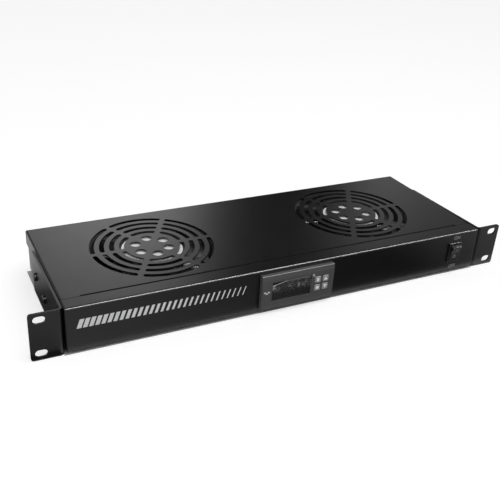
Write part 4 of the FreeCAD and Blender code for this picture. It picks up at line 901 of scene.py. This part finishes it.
class FANTRAY_OT_window_film(bpy.types.Operator):
    """Lays the protective film on the display window, with one corner lifting"""

    bl_idname = "fantray.window_film"
    bl_label = "Window film"

    columns = 96
    rows = 48
    inset = 0.35 * MM
    rest_gap = 0.05 * MM
    curl = 0.22 * MM
    peel_share = 0.42           # share of the window's width over which the corner has lifted
    rim_share = 0.055           # share of the window's height that the painted highlight along the film's edge takes
    rim_least = 0.3             # how bright the painted edge highlight is where the film still sticks
    fine_fold = 2.6 * MM
    broad_fold = 7.0 * MM

    def execute(self, context):
        window = context.scene.fan_tray.window
        low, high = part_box("display_lens")
        width = high.x - low.x - 2 * self.inset
        made = bmesh.new()
        rim = made.verts.layers.float.new("rim")
        grid = []
        for row in range(self.rows + 1):
            line = []
            for column in range(self.columns + 1):
                across = column / self.columns
                up = row / self.rows
                lifted = max(0.0, 1 - across / self.peel_share)
                top = high.z - self.inset - window.peel * lifted ** 1.5
                x = low.x + self.inset + width * across
                z = low.z + self.inset + (top - low.z - self.inset) * up
                vertex = made.verts.new((x, low.y - self.height(window, x, z, up, lifted), z))
                # Painted highlight along the film's upper edge, brightest where the corner lifts,
                # stored per vertex
                edge = max(0.0, 1 - (1 - up) / self.rim_share)
                gain = (1 - self.rim_least) * min(1.0, 3 * lifted)
                vertex[rim] = edge * (self.rim_least + gain)
                line.append(vertex)
            grid.append(line)
        for lower, upper in zip(grid, grid[1:]):
            for column in range(self.columns):
                made.faces.new(
                    (lower[column], lower[column + 1], upper[column + 1], upper[column]))
        mesh = bpy.data.meshes.new("window_film")
        made.to_mesh(mesh)
        made.free()
        mesh.shade_smooth()
        film = wrinkled_film("Window film", window.haze_and_glare, low, high)
        add_piece("window_film", mesh, film, "tray")
        return {"FINISHED"}

    def height(self, window, x, z, up, lifted):
        """How far the film stands off the window."""
        fine = noise.noise(Vector((x, 0, z)) / self.fine_fold)
        broad = noise.noise(Vector((x, 5 * MM, z)) / self.broad_fold)
        crumple = abs(fine) + 0.7 * abs(broad)
        return self.rest_gap + window.wrinkle * crumple * up + self.curl * lifted * up ** 6


class FANTRAY_OT_buttons(bpy.types.Operator):
    """Finishes the four thermostat buttons and prints a sign on each"""

    bl_idname = "fantray.buttons"
    bl_label = "Buttons"

    def execute(self, context):
        settings = context.scene.fan_tray
        dress("key_plastic", moulded("Button plastic", settings.plastic.buttons, 0.4))
        white = ink("Button ink", (0.95, 0.95, 0.95))
        for button, body in KEY_BODIES.items():
            low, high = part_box(button)
            centre = ((low.x + high.x) / 2, (low.z + high.z) / 2)
            signs = {
                "button_menu": rounded_box(centre, MENU_SIZE, MENU_CORNER),
                "button_up": triangle(centre, ARROW_SIZE[0], ARROW_SIZE[1]),
                "button_power": rounded_box(centre, POWER_SIZE, POWER_CORNER),
                "button_down": triangle(centre, ARROW_SIZE[0], -ARROW_SIZE[1]),
            }
            name = button.replace("button", "sign")
            mesh = plates(name, [signs[button]], low.y, settings.ink.thickness)
            add_piece(name, mesh, white, body)
        return {"FINISHED"}


class FANTRAY_OT_rocker_switch(bpy.types.Operator):
    """Finishes the mains switch and marks its on and off ends"""

    bl_idname = "fantray.rocker_switch"
    bl_label = "Rocker switch"

    def execute(self, context):
        settings = context.scene.fan_tray
        thickness = settings.ink.thickness
        dress("switch_plastic", moulded("Switch plastic", settings.plastic.switch, 0.34))
        dress("brass_blade", bare_metal(
            "Brass blades", RECORD_COLOURS["brass_blade"], 0.3, 0.5 * MM))
        rocker_ink = ink("Rocker ink", (0.3, 0.3, 0.3))
        low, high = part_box("switch_rocker")
        x = (low.x + high.x) / 2
        middle = (low.z + high.z) / 2
        ring = arc((x, middle - ROCKER_SIGN_DZ), ROCKER_RING_RADIUS, 0, RING_SWEEP, RING_STEPS)
        stroke = rounded_box((x, middle + ROCKER_SIGN_DZ), ROCKER_BAR_SIZE, ROCKER_BAR_CORNER)
        for name, sign in (
                ("rocker_ring", ribbon(ring, ROCKER_RING_STROKE)), ("rocker_stroke", stroke)):
            mesh = plates(name, [sign], 0.0, thickness)
            press_onto(mesh, "switch_rocker")
            add_piece(name, mesh, rocker_ink, "rocker")
        dimmed = [SWITCH_INK_SHARE * level for level in settings.ink.colour]
        panel_ink = ink("Switch print", dimmed)
        low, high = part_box("switch_housing")
        for text, z in (("ON", high.z + ON_GAP), ("OFF", low.z - OFF_GAP)):
            name = f"print_{text.lower()}"
            mesh = lettering(name, text, (x + SWITCH_TEXT_DX, z), PANEL_Y, thickness)
            add_piece(name, mesh, panel_ink, "tray")
        return {"FINISHED"}


class FANTRAY_OT_panel_print(bpy.types.Operator):
    """Prints a plain row of airflow bars on the left of the front panel"""

    bl_idname = "fantray.panel_print"
    bl_label = "Panel print"

    left_margin = 12.5 * MM
    height_above_middle = 5.8 * MM

    def execute(self, context):
        settings = context.scene.fan_tray.ink
        tree = airflow_tree(ink("Panel ink", settings.colour))
        mesh = grow("panel_bars", tree, {
            "Count": settings.bar_count, "Pitch": settings.bar_pitch,
            "Height": settings.bar_height, "Widest": settings.widest,
            "Narrowest": settings.narrowest, "Slant": settings.slant,
            "Thickness": 2 * settings.thickness})
        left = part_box("base_tray")[0].x + self.left_margin
        mesh.transform(Matrix.Translation((left, PANEL_Y, self.height_above_middle)))
        add_piece("panel_bars", mesh, mesh.materials[0], "tray")
        return {"FINISHED"}


class FANTRAY_OT_wiring(bpy.types.Operator):
    """Finishes the mains inlet, the leads and the sensor"""

    bl_idname = "fantray.wiring"
    bl_label = "Inlet and wiring"

    def execute(self, context):
        inlet = context.scene.fan_tray.plastic.inlet
        yellow = (0.75, 0.6, 0.04)
        dress("inlet_plastic", moulded("Inlet plastic", inlet, 0.42))
        for slot, name, stripe in (
                ("lead_brown", "Brown lead", None), ("lead_blue", "Blue lead", None),
                ("lead_earth", "Earth lead", yellow), ("lead_black", "Black lead", None)):
            dress(slot, jacket(name, RECORD_COLOURS[slot], stripe))
        return {"FINISHED"}


class FANTRAY_OT_stage(bpy.types.Operator):
    """Sets up the camera, the lamps, the floor and the reflected cards"""

    bl_idname = "fantray.stage"
    bl_label = "Studio"

    def execute(self, context):
        studio = context.scene.fan_tray.studio
        context.scene.view_settings.view_transform = "Standard"
        self.add_camera(context.scene, studio)
        self.add_world(context.scene, studio)
        self.add_floor()
        powers = (studio.overhead_power, studio.kicker_power)
        for lamp, power in zip(LAMPS, powers, strict=True):
            self.add_lamp(*lamp, power)
        for card in CARDS:
            self.add_card(*card)
        return {"FINISHED"}

    def add_camera(self, scene, studio):
        data = bpy.data.cameras.new("camera")
        data.sensor_width = 36.0
        data.lens = studio.lens
        data.shift_x = studio.shift
        camera = bpy.data.objects.new("camera", data)
        camera.location = studio.camera_place
        camera.rotation_euler = Euler(studio.camera_turn)
        scene.collection.objects.link(camera)
        scene.camera = camera

    def add_world(self, scene, studio):
        """White where it is seen, reflected or looked through, and dimmer as a light."""
        world = bpy.data.worlds.new("studio")
        world.use_nodes = True
        scene.world = world
        graph = Graph(world.node_tree)
        strength = studio.ambient + (1 - studio.ambient) * seen_directly(graph)
        sky = graph.node(
            "ShaderNodeBackground", inputs={"Color": (1, 1, 1, 1), "Strength": strength})
        graph.node("ShaderNodeOutputWorld", inputs={"Surface": sky})

    def add_floor(self):
        """A pale floor, white where it is seen, with a painted shadow under the tray, where the
        floor does not glow.
        """
        low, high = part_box("base_tray")

        def write(graph):
            paint = graph.node(
                "ShaderNodeBsdfDiffuse", inputs={"Color": opaque((FLOOR_PAINT,) * 3)})
            # Painted shadow: the floor's glow is turned off under the tray and just past its
            # sides; the floor's paint there still takes the real shadow.
            beside = graph.math("ABSOLUTE", graph.part("X")) > high.x + PAINTED_SHADOW_MARGIN
            ahead = graph.part("Y")
            painted_shadow = (1 - beside) * (ahead > low.y) * (ahead < high.y)
            strength = FLOOR_GLOW * seen_directly(graph) * (1 - painted_shadow)
            glow = graph.node("ShaderNodeEmission", inputs={"Strength": strength})
            return graph.node("ShaderNodeAddShader", inputs={0: paint, 1: glow})
        floor = add_plane("floor", FLOOR_SIZE, material("Floor", write))
        floor.data.transform(Matrix.Translation((0, 0, FLOOR_Z)))

    def add_lamp(self, name, place, target, size, power):
        data = bpy.data.lights.new(name, "AREA")
        data.shape = "RECTANGLE"
        data.size = size[0]
        data.size_y = size[1]
        data.energy = power
        lamp = bpy.data.objects.new(name, data)
        lamp.location = place
        aim = Vector(target) - Vector(place)
        lamp.rotation_euler = aim.to_track_quat("-Z", "Y").to_euler()
        bpy.context.scene.collection.objects.link(lamp)

    def add_card(self, name, place, size, turn, axis, tones):
        """A card that only glossy surfaces see, with a tone that changes along an axis."""
        def write(graph):
            first = tones[0][0]
            reach = tones[-1][0] - first
            brightest = max(level for at, level in tones) or 1.0
            tone = graph.ramp((graph.part(axis) - first) / reach, [
                ((at - first) / reach, level / brightest) for at, level in tones])
            return graph.node("ShaderNodeEmission", inputs={"Color": tone, "Strength": brightest})
        card = add_plane(name, size, material(name, write))
        card.data.transform(Matrix.Translation(place) @ Euler(turn).to_matrix().to_4x4())
        card.visible_camera = False
        card.visible_diffuse = False
        card.visible_transmission = False
        card.visible_shadow = False


def seen_directly(graph):
    """1 for camera, glossy and transmission rays, and 0 for the light on the object."""
    rays = [graph.node("ShaderNodeLightPath", output=f"Is {kind} Ray")
            for kind in ("Camera", "Glossy", "Transmission")]
    return graph.math("MAXIMUM", graph.math("MAXIMUM", rays[0], rays[1]), rays[2])


def add_plane(name, size, finish):
    """A flat sheet of the stage, centred at the origin."""
    made = bmesh.new()
    corners = ((-1, -1), (1, -1), (1, 1), (-1, 1))
    made.faces.new([made.verts.new((x * size[0] / 2, y * size[1] / 2, 0)) for x, y in corners])
    mesh = bpy.data.meshes.new(name)
    made.to_mesh(mesh)
    made.free()
    mesh.materials.append(finish)
    plane = bpy.data.objects.new(name, mesh)
    bpy.context.scene.collection.objects.link(plane)
    return plane


OPERATORS = (
    FANTRAY_OT_sheet_metal,
    FANTRAY_OT_fasteners,
    FANTRAY_OT_fans,
    FANTRAY_OT_thermostat,
    FANTRAY_OT_window_film,
    FANTRAY_OT_buttons,
    FANTRAY_OT_rocker_switch,
    FANTRAY_OT_panel_print,
    FANTRAY_OT_wiring,
    FANTRAY_OT_stage,
)


class FANTRAY_PT_panel(bpy.types.Panel):
    """Lists the steps that finish the fan tray"""

    bl_idname = "FANTRAY_PT_panel"
    bl_label = "Fan Tray"
    bl_space_type = "VIEW_3D"
    bl_region_type = "UI"
    bl_category = "Fan Tray"

    def draw(self, context):
        column = self.layout.column(align=True)
        for operator in OPERATORS:
            column.operator(operator.bl_idname)


CLASSES = (
    CoatSettings,
    PrintSettings,
    WindowSettings,
    PlasticSettings,
    StudioSettings,
    FanTraySettings,
    *OPERATORS,
    FANTRAY_PT_panel,
)


def register():
    for entry in CLASSES:
        bpy.utils.register_class(entry)
    bpy.types.Scene.fan_tray = PointerProperty(type=FanTraySettings)


def unregister():
    del bpy.types.Scene.fan_tray
    for entry in reversed(CLASSES):
        bpy.utils.unregister_class(entry)


def main():
    """Runs every step in order."""
    register()
    for operator in OPERATORS:
        group, name = operator.bl_idname.split(".")
        getattr(getattr(bpy.ops, group), name)()
    plain = [name for name, slot in NODE_SLOTS.items()
             if frame["nodes"][name].active_material.name == slot]
    if plain:
        raise RuntimeError(f"these nodes have no finish of their own: {plain}")


if __name__ == "__main__":
    main()
